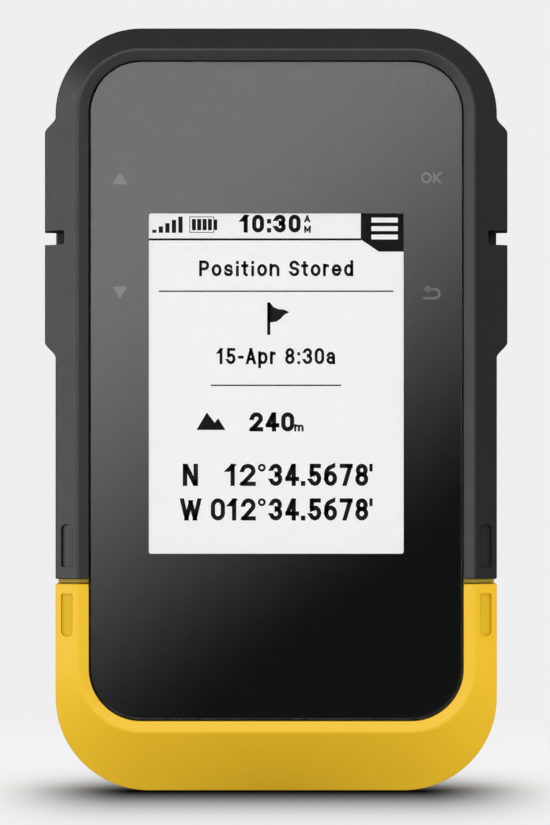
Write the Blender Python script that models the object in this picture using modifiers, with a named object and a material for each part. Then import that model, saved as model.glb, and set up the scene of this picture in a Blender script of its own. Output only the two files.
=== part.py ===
"""Handheld GPS unit: two-tone rugged case, glass front, four side keys, two AA cells behind a latched cover.

Frame: +Z up the long side, +X to the right of the screen, the screen faces -Y. The origin is the middle of
the foot. Sizes below are in millimetres. A depth is counted from the front of the case towards its back.
"""

import math

import bmesh
import bpy
from mathutils import Matrix, Vector

MM = 0.001

# Overall size
DEPTH = 33.0
HALF_WIDTH = 29.38
HEIGHT = 101.6
CORNER_LOW = 12.4
CORNER_HIGH = 11.45
ARC_STEPS = 7

# Front face: the crest is the ridge round the glass, and the case falls away from it on both sides
CREST = (26.43, 7.93, 98.75, 8.5)
OPENING = (25.02, 9.37, 97.45, 7.15)
LENS = (24.70, 9.70, 97.13, 6.83)
SCREEN_HALF, SCREEN_LOW, SCREEN_HIGH = 16.95, 31.68, 76.95
CHAMFER_SLOPE = 0.84
OPENING_EDGE_DEPTH = 0.45
BEZEL_BACK = 5.6

# Ears that guard the side keys
EAR_HALF = 30.82
EAR_LOW, EAR_HIGH = 59.0, 88.8
EAR_SHOULDER = 1.7
NOTCH_LOW, NOTCH_HIGH, NOTCH_HALF = 73.0, 74.93, 28.56

# Split between the dark bezel and the yellow lower shell
SPLIT_Z = 28.3
SPLIT_GAP = 0.6
LOWER_SHELL_BACK = 20.8
SHELL_WALL = 2.0

# Rear housing
HOUSING_BACK = 23.5
HOUSING_SECTIONS = ((5.9, 0.0), (21.9, 0.0), (22.7, 0.52), (23.29, 1.95), (HOUSING_BACK, 3.9))
CAVITY_INSET = 3.88
CAVITY_BACK = 11.8
POCKET_BACK = 18.5

# Batteries: two AA cells, side by side
CELL_RADIUS = 7.1
CELL_LENGTH = 50.3
CELL_X = 7.45
CELL_DEPTH = 20.6
SPRING_LENGTH = 3.3
BAY_HALF, BAY_LOW, BAY_HIGH, BAY_FLOOR = 15.6, 25.0, 80.6, 13.2

# Battery cover
COVER_HALF, COVER_LOW, COVER_HIGH = 21.0, 7.2, 88.1
LEDGE_DEPTH = 22.3
COVER_FACE = 26.2
BULGE_TOP = 29.9
RAIL_LOW, RAIL_HIGH = 36.0, 78.0

# Latch on the cover
LATCH_Z = 16.0
DISH_RADIUS = 8.0
DISH_FLOOR = 24.4
RING_RADIUS = 6.6
RING_WIRE = 0.8
RING_DEPTH = 26.75

# Side keys
KEY_CENTRES = {"lower": 66.3, "upper": 81.1}
KEY_HALF_LENGTH = 5.8
KEY_LOW_DEPTH, KEY_HIGH_DEPTH = 7.3, 12.7
KEY_TOP = 30.45
KEY_CLEARANCE = 0.25

# Screws that hold the housing to the frame: (x, z)
SCREWS = ((-19.5, 17.5), (19.5, 17.5), (-15.0, 85.2), (15.0, 85.2))
SCREW_RADIUS = 0.95
SCREW_HEAD_RADIUS = 1.8
BOSS_RADIUS = 2.1

# USB socket and its flap
USB_Z = 92.9
FLAP_HALF_HEIGHT = 3.2
FLAP_LEFT, FLAP_RIGHT = -8.0, 8.6
FLAP_AXIS_X, FLAP_AXIS_DEPTH = -8.5, 23.0


# ---------------------------------------------------------------- scene and materials


def clear_scene():
    for obj in list(bpy.data.objects):
        bpy.data.objects.remove(obj)


def new_collection(name, hidden=False):
    collection = bpy.data.collections.new(name)
    bpy.context.scene.collection.children.link(collection)
    collection.hide_render = hidden
    return collection


def material(name, colour, roughness, metallic=0.0):
    made = bpy.data.materials.new(name)
    made.use_nodes = True
    shader = made.node_tree.nodes["Principled BSDF"]
    shader.inputs["Base Color"].default_value = (*colour, 1.0)
    shader.inputs["Roughness"].default_value = roughness
    shader.inputs["Metallic"].default_value = metallic
    return made


clear_scene()
PARTS = new_collection("handheld_gps_unit")
CUTTERS = new_collection("cutters", hidden=True)

DARK_PLASTIC = material("dark_plastic", (0.028, 0.030, 0.032), 0.45)
YELLOW_PLASTIC = material("yellow_plastic", (0.86, 0.53, 0.035), 0.45)
BLACK_PLASTIC = material("black_plastic", (0.012, 0.012, 0.013), 0.55)
BLACK_RUBBER = material("black_rubber", (0.015, 0.015, 0.015), 0.8)
LENS_GLASS = material("lens_glass", (0.05, 0.05, 0.05), 0.05)
MASK_PRINT = material("mask_print", (0.004, 0.004, 0.004), 0.5)
SCREEN_WHITE = material("screen_white", (0.80, 0.80, 0.80), 0.4)
ACRYLIC = material("acrylic", (0.75, 0.78, 0.80), 0.2)
WHITE_PLASTIC = material("white_plastic", (0.6, 0.6, 0.58), 0.5)
BOARD_GREEN = material("board_green", (0.02, 0.12, 0.05), 0.5)
CERAMIC = material("ceramic", (0.55, 0.48, 0.38), 0.6)
STEEL = material("steel", (0.55, 0.55, 0.56), 0.35, 1.0)
NICKEL = material("nickel", (0.60, 0.58, 0.54), 0.3, 1.0)
BRASS = material("brass", (0.70, 0.52, 0.22), 0.35, 1.0)
CELL_JACKET = material("cell_jacket", (0.05, 0.07, 0.10), 0.35)


# ---------------------------------------------------------------- modelling helpers


def y_of(depth):
    """Depth from the front of the case, in millimetres, as a Y coordinate in millimetres."""
    return depth - DEPTH / 2


def link(name, mesh, finish):
    obj = bpy.data.objects.new(name, mesh)
    if finish is not None:
        mesh.materials.clear()
        mesh.materials.append(finish)
    PARTS.objects.link(obj)
    return obj


def smooth(obj, angle=35):
    """Round faces shaded smooth, with edges sharper than the angle kept sharp."""
    obj.data.shade_smooth()
    obj.data.set_sharp_from_angle(angle=math.radians(angle))
    return obj


def rounded_box(half, low, high, r_low, r_high=None):
    """A rounded rectangle in X and Z, anticlockwise, as a list of (x, z)."""
    r_high = r_low if r_high is None else r_high
    corners = (
        (half - r_low, low + r_low, r_low, -90),
        (half - r_high, high - r_high, r_high, 0),
        (r_high - half, high - r_high, r_high, 90),
        (r_low - half, low + r_low, r_low, 180),
    )
    points = []
    for x, z, radius, start in corners:
        for step in range(ARC_STEPS + 1):
            turn = math.radians(start + 90 * step / ARC_STEPS)
            points.append((x + radius * math.cos(turn), z + radius * math.sin(turn)))
    return points


def case_outline(inset=0.0):
    return rounded_box(
        HALF_WIDTH - inset, inset, HEIGHT - inset, CORNER_LOW - inset, CORNER_HIGH - inset
    )


def grown(shape, by):
    """A (half width, low, high, corner radius) outline moved outwards."""
    half, low, high, radius = shape
    return (half + by, low - by, high + by, radius + by)


def ear_outline():
    """The case outline with an ear on each side, whose shoulders follow a smooth step."""
    steps = 6
    rise = []
    for step in range(steps + 1):
        share = step / steps
        ease = share * share * (3 - 2 * share)
        rise.append((HALF_WIDTH + ease * (EAR_HALF - HALF_WIDTH), share * EAR_SHOULDER))
    right = [(x, EAR_LOW - EAR_SHOULDER / 2 + z) for x, z in rise]
    right += [(x, EAR_HIGH + EAR_SHOULDER / 2 - z) for x, z in reversed(rise)]
    plain = case_outline()
    first = ARC_STEPS + 1
    left = [(-x, z) for x, z in reversed(right)]
    return plain[:first] + right + plain[first : 3 * first] + left + plain[3 * first :]


def slab(name, outlines, front, back, finish=None):
    """A flat outline, with any holes as further outlines, between two depths."""
    curve = bpy.data.curves.new(name, "CURVE")
    curve.dimensions = "2D"
    curve.fill_mode = "BOTH"
    curve.extrude = (back - front) / 2 * MM
    for outline in outlines:
        spline = curve.splines.new("POLY")
        spline.points.add(len(outline) - 1)
        spline.use_cyclic_u = True
        for point, (x, z) in zip(spline.points, outline):
            point.co = (x * MM, z * MM, 0, 1)
    flat = bpy.data.objects.new(name + "_curve", curve)
    PARTS.objects.link(flat)
    flat.rotation_euler = (math.pi / 2, 0, 0)
    flat.location = (0, y_of((front + back) / 2) * MM, 0)
    return mesh_from(name, flat, finish)


def mesh_from(name, source, finish):
    """A mesh object made from a curve object, with its caps welded. The curve is removed."""
    bpy.context.view_layer.update()
    graph = bpy.context.evaluated_depsgraph_get()
    mesh = bpy.data.meshes.new_from_object(source.evaluated_get(graph))
    mesh.transform(source.matrix_world)
    bm = bmesh.new()
    bm.from_mesh(mesh)
    bmesh.ops.remove_doubles(bm, verts=bm.verts, dist=1e-7)
    bmesh.ops.recalc_face_normals(bm, faces=bm.faces)
    bm.to_mesh(mesh)
    bm.free()
    bpy.data.objects.remove(source)
    mesh.name = name
    return link(name, mesh, finish)


def loft(name, sections, finish=None):
    """A closed solid through (outline, depth) sections that have the same number of points."""
    bm = bmesh.new()
    rings = []
    for outline, depth in sections:
        verts = [bm.verts.new((x * MM, y_of(depth) * MM, z * MM)) for x, z in outline]
        rings.append([bm.edges.new(pair) for pair in zip(verts, verts[1:] + verts[:1])])
    for first, second in zip(rings, rings[1:]):
        bmesh.ops.bridge_loops(bm, edges=first + second)
    for ring in (rings[0], rings[-1]):
        bmesh.ops.edgeloop_fill(bm, edges=ring)
    bmesh.ops.recalc_face_normals(bm, faces=bm.faces)
    mesh = bpy.data.meshes.new(name)
    bm.to_mesh(mesh)
    bm.free()
    return link(name, mesh, finish)


def block(name, x, depth, z, finish=None, round_off=0.0):
    """A box between (low, high) pairs in x, depth and z, its edges rounded off if asked."""
    bm = bmesh.new()
    bmesh.ops.create_cube(bm, size=1)
    size = Vector((x[1] - x[0], depth[1] - depth[0], z[1] - z[0]))
    middle = Vector((sum(x) / 2, y_of(sum(depth) / 2), sum(z) / 2))
    bm.transform(Matrix.Translation(middle * MM) @ Matrix.Diagonal((*(size * MM), 1)))
    mesh = bpy.data.meshes.new(name)
    bm.to_mesh(mesh)
    bm.free()
    obj = link(name, mesh, finish)
    if round_off:
        bevel(obj, round_off)
    return obj


def bevel(obj, width, segments=2, angle=40):
    modifier = obj.modifiers.new("edges", "BEVEL")
    modifier.width = width * MM
    modifier.segments = segments
    modifier.limit_method = "ANGLE"
    modifier.angle_limit = math.radians(angle)
    return obj


def cylinder(name, radius, centre, length, axis, finish=None, sides=24, top_radius=None):
    """A cylinder or cone about an axis letter. centre is (x, depth, z) of its middle."""
    turn = {
        "X": Matrix.Rotation(math.pi / 2, 4, "Y"),
        "Y": Matrix.Rotation(-math.pi / 2, 4, "X"),
        "Z": Matrix.Identity(4),
    }[axis]
    bm = bmesh.new()
    bmesh.ops.create_cone(
        bm,
        cap_ends=True,
        segments=sides,
        radius1=radius * MM,
        radius2=(radius if top_radius is None else top_radius) * MM,
        depth=length * MM,
    )
    place = Vector((centre[0], y_of(centre[1]), centre[2])) * MM
    bm.transform(Matrix.Translation(place) @ turn)
    mesh = bpy.data.meshes.new(name)
    bm.to_mesh(mesh)
    bm.free()
    return link(name, mesh, finish)


def turned(name, profile, centre, axis, finish=None, sides=24):
    """A turned piece: profile is (radius, distance along the axis), its outer side from far to near."""
    mesh = bpy.data.meshes.new(name)
    bm = bmesh.new()
    verts = [bm.verts.new((radius * MM, 0, along * MM)) for radius, along in profile]
    for pair in zip(verts, verts[1:]):
        bm.edges.new(pair)
    if profile[0][0] > 0:
        bm.edges.new((verts[-1], verts[0]))
    bm.to_mesh(mesh)
    bm.free()
    obj = link(name, mesh, finish)
    screw = obj.modifiers.new("turn", "SCREW")
    screw.steps = screw.render_steps = sides
    screw.use_merge_vertices = True
    screw.merge_threshold = 0.00001
    obj.location = Vector((centre[0], y_of(centre[1]), centre[2])) * MM
    if axis == "Y":
        obj.rotation_euler = (-math.pi / 2, 0, 0)
    elif axis == "X":
        obj.rotation_euler = (0, math.pi / 2, 0)
    return obj


def wire(name, points, radius, finish):
    """A round wire through points in millimetres (x, depth, z)."""
    curve = bpy.data.curves.new(name, "CURVE")
    curve.dimensions = "3D"
    curve.bevel_depth = radius * MM
    curve.bevel_resolution = 2
    curve.use_fill_caps = True
    spline = curve.splines.new("POLY")
    spline.points.add(len(points) - 1)
    for point, (x, depth, z) in zip(spline.points, points):
        point.co = (x * MM, y_of(depth) * MM, z * MM, 1)
    curve.materials.append(finish)
    obj = bpy.data.objects.new(name, curve)
    PARTS.objects.link(obj)
    return obj


def boolean(obj, tool, operation):
    """A Boolean modifier. The tool moves to the cutters' collection and isn't rendered."""
    modifier = obj.modifiers.new(tool.name, "BOOLEAN")
    modifier.operation = operation
    modifier.solver = "EXACT"
    modifier.object = tool
    tool.hide_render = True
    tool.display_type = "WIRE"
    PARTS.objects.unlink(tool)
    CUTTERS.objects.link(tool)
    return obj


def cut(obj, *tools):
    for tool in tools:
        boolean(obj, tool, "DIFFERENCE")
    return obj


def join(obj, *tools):
    for tool in tools:
        boolean(obj, tool, "UNION")
    return obj


def keep_inside(obj, tool):
    return boolean(obj, tool, "INTERSECT")


def both_sides(make):
    """Calls make(side name, sign) for the left and the right of the case."""
    for side, sign in (("left", -1), ("right", 1)):
        make(side, sign)


# ---------------------------------------------------------------- front of the case


def tent(name, sink=0.0):
    """The solid that the front is cut to: the crest outline, widening backwards at the chamfer's slope."""
    reach = 8.0
    return loft(
        name,
        [
            (rounded_box(*CREST), sink),
            (rounded_box(*grown(CREST, reach / CHAMFER_SLOPE)), sink + reach),
            (rounded_box(*grown(CREST, reach / CHAMFER_SLOPE)), DEPTH + 5),
        ],
    )


def opening_cutter(name):
    """The window for the glass, with the slope that leads down to it from the crest."""
    return loft(
        name,
        [
            (rounded_box(*grown(CREST, 0.6)), -0.2),
            (rounded_box(*OPENING), OPENING_EDGE_DEPTH),
            (rounded_box(*OPENING), DEPTH),
        ],
    )


def frame_pocket(name):
    """Room inside the bezel and the lower shell for the inner frame."""
    pocket = slab(name, [case_outline(SHELL_WALL + 0.1)], 2.5, DEPTH)
    return keep_inside(pocket, tent(name + "_slope", sink=1.15))


def half_space(name, low, high, front=-2.0, back=DEPTH + 2):
    wide = EAR_HALF + 5
    return block(name, (-wide, wide), (front, back), (low, high))


def build_bezel():
    bezel = slab("front_bezel", [ear_outline()], 0, BEZEL_BACK, DARK_PLASTIC)
    keep_inside(bezel, tent("bezel_tent"))
    cut(
        bezel,
        opening_cutter("bezel_opening"),
        frame_pocket("bezel_pocket"),
        half_space("bezel_split", -5, SPLIT_Z),
    )
    for side, sign in (("left", -1), ("right", 1)):
        notch = sorted((sign * NOTCH_HALF, sign * (EAR_HALF + 2)))
        cut(bezel, block(f"notch_{side}", notch, (-1, 8), (NOTCH_LOW, NOTCH_HIGH)))
        cut(bezel, grip_slot(f"bezel_slot_{side}", sign, 29.87, 35.6))
    return smooth(bezel)


def grip_slot(name, sign, low, high):
    """The shallow pill-shaped slot in the chamfer beside the split."""
    half, middle = 0.79, 27.86
    pill = [(sign * middle + x, z) for x, z in rounded_box(half, low, high, 0.75)]
    near = (middle - CREST[0]) * CHAMFER_SLOPE + 0.35
    return slab(name, [pill], -2, near)


def build_lower_shell():
    top = SPLIT_Z - SPLIT_GAP
    shell = slab("lower_shell", [case_outline()], 0, LOWER_SHELL_BACK, YELLOW_PLASTIC)
    keep_inside(shell, tent("shell_tent"))
    cut(
        shell,
        opening_cutter("shell_opening"),
        frame_pocket("shell_pocket"),
        slab("shell_room", [case_outline(SHELL_WALL)], 5.3, DEPTH),
        half_space("shell_split", top, HEIGHT + 5),
    )
    for side, sign in (("left", -1), ("right", 1)):
        cut(shell, grip_slot(f"shell_slot_{side}", sign, 20.67, 26.36))
    return smooth(shell)


def build_front_frame():
    """The black inner frame: it seats the glass and screws to the rear housing."""
    frame = slab("front_frame", [case_outline(2.4)], 2.75, BEZEL_BACK, BLACK_PLASTIC)
    keep_inside(frame, tent("frame_tent", sink=1.5))
    half, low, high, radius = OPENING
    room = slab("frame_room", [rounded_box(half - 1.2, low + 1.6, high - 1.6, radius - 1)], 3.95, 7)
    window = slab("frame_window", [rounded_box(21.1, 26.6, 82.4, 0.3)], 1, 7)
    cut(frame, room, window)
    for number, (x, z) in enumerate(SCREWS, 1):
        join(frame, cylinder(f"frame_boss_{number}", BOSS_RADIUS, (x, 7.35, z), 7.7, "Y"))
        cut(frame, cylinder(f"boss_bore_{number}", 1.1, (x, 9.0, z), 6.0, "Y", sides=16))
    return smooth(frame)


def build_glass():
    slab("display_lens", [rounded_box(*LENS)], 0.75, 1.95, LENS_GLASS)
    window = rounded_box(SCREEN_HALF, SCREEN_LOW, SCREEN_HIGH, 0.3)
    slab("lens_mask", [rounded_box(*grown(LENS, -0.15)), window], 2.05, 2.2, MASK_PRINT)
    inner = rounded_box(*grown(LENS, -2.0))
    slab("lens_gasket", [rounded_box(*grown(LENS, -0.3)), inner], 2.3, 2.65, BLACK_RUBBER)


def build_screen():
    block("lcd_panel", (-19.2, 19.2), (2.4, 4.2), (28.6, 80.4), SCREEN_WHITE)
    block("lcd_light_guide", (-19.2, 19.2), (4.35, 5.2), (28.6, 80.4), ACRYLIC)
    holder = block("lcd_holder", (-20.8, 20.8), (3.0, 6.2), (26.9, 82.1), WHITE_PLASTIC)
    cut(holder, block("lcd_holder_room", (-19.5, 19.5), (2.0, 5.35), (28.3, 80.7)))


# ---------------------------------------------------------------- electronics


def build_board():
    outline = rounded_box(23.4, 9.0, 96.0, 5.0)
    board = slab("main_board", [outline], 7.4, 8.4, BOARD_GREEN)
    for number, (x, z) in enumerate(SCREWS, 1):
        hole = cylinder(f"board_hole_{number}", BOSS_RADIUS + 0.35, (x, 8, z), 4, "Y")
        cut(board, hole)
    block("gps_antenna", (-6.2, 6.2), (4.2, 7.25), (83.4, 95.6), CERAMIC, 0.4)
    block("radio_shield", (-10, 6), (8.5, 10.4), (66, 80), STEEL, 0.3)
    block("processor_shield", (-11, 11), (8.5, 10.6), (36, 58), STEEL, 0.3)
    cylinder("beeper", 5.0, (0, 6.5, 18.5), 1.4, "Y", BRASS, sides=32)


def build_usb_socket():
    shape = rounded_box(4.47, USB_Z - 1.6, USB_Z + 1.6, 1.55)
    mouth = rounded_box(4.15, USB_Z - 1.28, USB_Z + 1.28, 1.25)
    socket = slab("usb_socket", [shape], 8.5, 18.8, NICKEL)
    cut(socket, slab("usb_socket_mouth", [mouth], 12.5, 20))
    smooth(socket)
    block("usb_tongue", (-3.35, 3.35), (12.7, 18.0), (USB_Z - 0.35, USB_Z + 0.35), BLACK_PLASTIC)


def build_key_electronics(side, sign):
    """The small upright board on each side, with a tactile switch behind each key."""
    board_x = sorted((sign * 21.6, sign * 22.4))
    block(f"key_board_{side}", board_x, (8.9, 13.6), (60.8, 86.3), BOARD_GREEN)
    for place, z in KEY_CENTRES.items():
        body_x = sorted((sign * 22.5, sign * 23.6))
        switch = block(
            f"switch_{side}_{place}", body_x, (8.7, 11.7), (z - 1.75, z + 1.75), STEEL
        )
        nub = cylinder(f"nub_{side}_{place}", 0.8, (sign * 23.7, 10.2, z), 0.8, "X", sides=12)
        join(switch, nub)


# ---------------------------------------------------------------- rear housing


def screw_holes(obj, front, back):
    for number, (x, z) in enumerate(SCREWS, 1):
        middle = (x, (front + back) / 2, z)
        cut(obj, cylinder(f"{obj.name}_screw_{number}", 1.2, middle, back - front, "Y", sides=16))


def lower_shell_room():
    """The space that the yellow shell takes round the bottom of the housing."""
    room = half_space("housing_lower", -5, SPLIT_Z + 0.3, 3, LOWER_SHELL_BACK + 0.3)
    return cut(room, slab("housing_core", [case_outline(SHELL_WALL + 0.3)], 2, 25))


def build_housing():
    sections = [(case_outline(inset), depth) for depth, inset in HOUSING_SECTIONS]
    housing = loft("rear_housing", sections, BLACK_PLASTIC)
    cut(
        housing,
        lower_shell_room(),
        slab("housing_cavity", [case_outline(CAVITY_INSET)], 4, CAVITY_BACK),
        slab("seal_groove", [case_outline(2.6), case_outline(3.5)], 5, 6.3),
        block("battery_bay", (-BAY_HALF, BAY_HALF), (BAY_FLOOR, 26), (BAY_LOW, BAY_HIGH)),
        slab("cover_recess", [rounded_box(21.25, 6.95, 88.35, 6.2)], LEDGE_DEPTH, 26),
        block("antenna_pocket", (-21, 21), (10, 16.5), (88.0, 95.8)),
        cylinder("keeper_seat", 5.2, (0, 22.4, LATCH_Z), 4.0, "Y"),
        cylinder("latch_room", 4.4, (0, 19.6, LATCH_Z), 3.2, "Y"),
        slab("flap_seat", [rounded_box(13.0, USB_Z - 3.45, USB_Z + 3.45, 0.8)], 22.1, 26),
        slab("plug_seat", [rounded_box(6.2, USB_Z - 2.7, USB_Z + 2.7, 1.2)], 18.9, 24),
        slab("socket_hole", [rounded_box(4.8, USB_Z - 1.9, USB_Z + 1.9, 1.7)], 10, 24),
    )
    screw_holes(housing, 5, 24)
    for number, (x, z) in enumerate(SCREWS, 1):
        head = cylinder(f"head_room_{number}", SCREW_HEAD_RADIUS + 0.3, (x, 22.8, z), 4.0, "Y")
        boss = cylinder(f"boss_room_{number}", BOSS_RADIUS + 0.3, (x, 9.0, z), 6.0, "Y")
        cut(housing, head, boss)
    for side, sign in (("left", -1), ("right", 1)):
        pocket = sorted((sign * 17.2, sign * 25.4))
        cut(housing, block(f"pocket_{side}", pocket, (11, POCKET_BACK), (27.5, 86.6)))
        for place, z in KEY_CENTRES.items():
            cut(housing, key_window(side, place, sign, z), flange_room(side, place, sign, z))
    return smooth(housing)


def key_window(side, place, sign, z):
    reach = KEY_HALF_LENGTH + KEY_CLEARANCE
    x = sorted((sign * 26, sign * 32))
    depth = (KEY_LOW_DEPTH - KEY_CLEARANCE, KEY_HIGH_DEPTH + KEY_CLEARANCE)
    return block(f"window_{side}_{place}", x, depth, (z - reach, z + reach))


def flange_room(side, place, sign, z):
    reach = KEY_HALF_LENGTH + 1.0
    x = sorted((sign * 24, sign * 27.3))
    return block(f"flange_room_{side}_{place}", x, (6.9, 13.8), (z - reach, z + reach))


def build_seal():
    slab("housing_seal", [case_outline(2.7), case_outline(3.4)], 5.7, 6.2, BLACK_RUBBER)


def build_screws():
    for number, (x, z) in enumerate(SCREWS, 1):
        tip, under_head, top = 6.6, 20.95, 22.1
        profile = [
            (0, top),
            (SCREW_HEAD_RADIUS - 0.3, top),
            (SCREW_HEAD_RADIUS, top - 0.35),
            (SCREW_HEAD_RADIUS, under_head),
            (SCREW_RADIUS, under_head),
            (SCREW_RADIUS, tip + 0.5),
            (0.4, tip),
            (0, tip),
        ]
        screw = turned(
            f"case_screw_{number}",
            [(radius, along - DEPTH / 2) for radius, along in profile],
            (x, DEPTH / 2, z),
            "Y",
            STEEL,
            sides=16,
        )
        drive = cylinder(f"drive_{number}", 0.8, (x, top, z), 1.2, "Y", sides=6)
        smooth(cut(screw, drive))


# ---------------------------------------------------------------- batteries and contacts


def build_cell(side, sign, low, nub_up):
    """An AA cell: jacketed can, with its positive nub at one end."""
    nub, can = 1.1, CELL_LENGTH - 1.1
    profile = [
        (0, can + nub),
        (2.6, can + nub),
        (2.75, can + nub - 0.2),
        (2.75, can),
        (CELL_RADIUS - 0.5, can),
        (CELL_RADIUS, can - 0.5),
        (CELL_RADIUS, 0.4),
        (CELL_RADIUS - 0.4, 0),
        (0, 0),
    ]
    if not nub_up:
        profile = [(radius, CELL_LENGTH - along) for radius, along in reversed(profile)]
    centre = (sign * CELL_X, CELL_DEPTH, low)
    smooth(turned(f"battery_{side}", profile, centre, "Z", CELL_JACKET, sides=32))


def build_spring(side, sign, low):
    """The conical contact spring behind a cell's flat end."""
    turns, per_turn = 3.2, 12
    count = round(turns * per_turn)
    wide_low = sign < 0
    points = []
    for step in range(count + 1):
        share = step / count
        radius = 4.6 - 2.0 * (share if wide_low else 1 - share)
        angle = 2 * math.pi * turns * share
        x = sign * CELL_X + radius * math.cos(angle)
        points.append((x, CELL_DEPTH + radius * math.sin(angle), low + share * SPRING_LENGTH))
    wire(f"battery_spring_{side}", points, 0.25, NICKEL)


def build_contacts():
    bottom, top = BAY_LOW + 0.2, BAY_HIGH - 0.2
    for side, sign in (("left", -1), ("right", 1)):
        x = (sign * CELL_X - 5.5, sign * CELL_X + 5.5)
        plate = (bottom, bottom + 0.4)
        block(f"contact_plate_{side}", x, (15.0, 26.0), plate, NICKEL)
    wide = CELL_X + 5.5
    block("contact_bridge", (-wide, wide), (15.0, 26.0), (top - 0.4, top), NICKEL)
    build_cell("left", -1, top - 0.6 - CELL_LENGTH, nub_up=True)
    build_cell("right", 1, bottom + 0.6, nub_up=False)
    build_spring("left", -1, bottom + 0.7)
    build_spring("right", 1, top - 0.7 - SPRING_LENGTH)


# ---------------------------------------------------------------- battery cover and latch


def build_cover():
    flange = rounded_box(COVER_HALF, COVER_LOW, COVER_HIGH, 6.0)
    face = rounded_box(COVER_HALF - 1.6, COVER_LOW + 1.0, COVER_HIGH - 1.6, 5.2)
    cover = loft(
        "battery_cover",
        [
            (flange, 22.5),
            (flange, 23.6),
            (rounded_box(COVER_HALF - 0.5, COVER_LOW + 0.4, COVER_HIGH - 0.5, 5.8), 25.2),
            (face, COVER_FACE),
        ],
        BLACK_PLASTIC,
    )
    bulge = loft(
        "cover_bulge",
        [
            (rounded_box(18.6, 24.3, 83.6, 5.0), 24.5),
            (rounded_box(18.1, 25.0, 83.0, 4.6), 27.2),
            (rounded_box(16.6, 26.6, 81.6, 4.0), 29.2),
            (rounded_box(15.0, 28.2, 80.2, 3.4), BULGE_TOP),
        ],
    )
    join(cover, bulge, mounting_rail())
    cut(
        cover,
        block("cover_room", (-15.3, 15.3), (20, 28.3), (BAY_LOW, BAY_HIGH), round_off=0.8),
        slab(
            "gasket_groove",
            [rounded_box(18.0, 23.1, 83.0, 3.0), rounded_box(16.6, 24.6, 81.6, 2.0)],
            20,
            23.3,
        ),
        cylinder("dish", DISH_RADIUS, (0, 26.4, LATCH_Z), 4.0, "Y", sides=48),
        cylinder("finger_scoop", 4.2, (0, 28.3, 10.2), 6.0, "Y", sides=24, top_radius=5.4),
        cylinder("latch_bore", 2.6, (0, 24, LATCH_Z), 6.0, "Y", sides=32),
        cylinder("latch_seal_seat", 3.6, (0, 24.2, LATCH_Z), 1.0, "Y", sides=32),
    )
    smooth(cover)
    slab(
        "cover_gasket",
        [rounded_box(17.9, 23.2, 82.9, 2.9), rounded_box(16.7, 24.5, 81.7, 2.1)],
        22.4,
        23.2,
        BLACK_RUBBER,
    )


def mounting_rail():
    """The T-shaped spine that carrying clips and handlebar mounts slide onto."""
    rail = block("rail_neck", (-3.2, 3.2), (29.0, 32.0), (RAIL_LOW, RAIL_HIGH))
    head = slab("rail_head", [rounded_box(5.2, RAIL_LOW, RAIL_HIGH, 1.2)], 31.4, DEPTH)
    catch = block("rail_catch", (-1.6, 1.6), (32.2, 34), (RAIL_HIGH - 8, RAIL_HIGH - 5.5))
    return cut(join(rail, head), catch)


def build_latch():
    """The quarter-turn latch. Its lug bar lines up with the keeper's slot when it is turned open."""
    profile = [
        (0, 25.8),
        (7.1, 25.8),
        (7.6, 25.3),
        (7.6, 24.6),
        (2.5, 24.6),
        (2.5, 22.3),
        (2.1, 22.3),
        (2.1, 21.7),
        (2.5, 21.7),
        (2.5, 18.7),
        (0, 18.7),
    ]
    knob = turned(
        "latch_knob",
        [(radius, along - DEPTH / 2) for radius, along in profile],
        (0, DEPTH / 2, LATCH_Z),
        "Y",
        BLACK_PLASTIC,
        sides=48,
    )
    lug = block("ring_lug", (-4.2, 4.2), (25.5, 28.0), (LATCH_Z - 1.8, LATCH_Z + 1.8), round_off=0.6)
    bar = block("lug_bar", (-4.0, 4.0), (18.7, 20.1), (LATCH_Z - 0.9, LATCH_Z + 0.9))
    join(knob, lug, bar)
    for side, sign in (("left", -1), ("right", 1)):
        bore = cylinder(
            f"ring_bore_{side}", RING_WIRE + 0.1, (sign * 3.4, RING_DEPTH, LATCH_Z), 3.4, "X", sides=16
        )
        cut(knob, bore)
    smooth(knob)


def build_latch_seal():
    """The O-ring on the latch's shaft: a small circle turned about the shaft."""
    seal = bpy.data.meshes.new("latch_seal")
    o_ring = link("latch_seal", seal, BLACK_RUBBER)
    bm = bmesh.new()
    section = bmesh.ops.create_circle(bm, segments=8, radius=0.33 * MM)["verts"]
    shift = Matrix.Translation((3.05 * MM, 0, 0)) @ Matrix.Rotation(math.pi / 2, 4, "X")
    bmesh.ops.transform(bm, matrix=shift, verts=section)
    bm.to_mesh(seal)
    bm.free()
    spin = o_ring.modifiers.new("turn", "SCREW")
    spin.steps = spin.render_steps = 28
    spin.use_merge_vertices = True
    spin.merge_threshold = 0.00001
    o_ring.location = (0, y_of(24.08) * MM, LATCH_Z * MM)
    o_ring.rotation_euler = (-math.pi / 2, 0, 0)


def build_latch_clip():
    """The snap ring that keeps the latch in the cover."""
    clip = cylinder("latch_clip", 3.9, (0, 22.0, LATCH_Z), 0.45, "Y", STEEL, sides=24)
    cut(
        clip,
        cylinder("clip_bore", 2.25, (0, 22, LATCH_Z), 2, "Y", sides=24),
        block("clip_gap", (-1.6, 1.6), (21, 23), (LATCH_Z - 6, LATCH_Z)),
    )


def build_keeper():
    """The slotted plate in the housing that the latch's bar turns behind."""
    keeper = cylinder("latch_keeper", 5.0, (0, 21.0, LATCH_Z), 0.9, "Y", BRASS, sides=32)
    cut(
        keeper,
        cylinder("keeper_bore", 2.8, (0, 21, LATCH_Z), 3, "Y", sides=24),
        block("keeper_slot", (-4.3, 4.3), (20, 22), (LATCH_Z - 1.2, LATCH_Z + 1.2)),
    )


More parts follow.
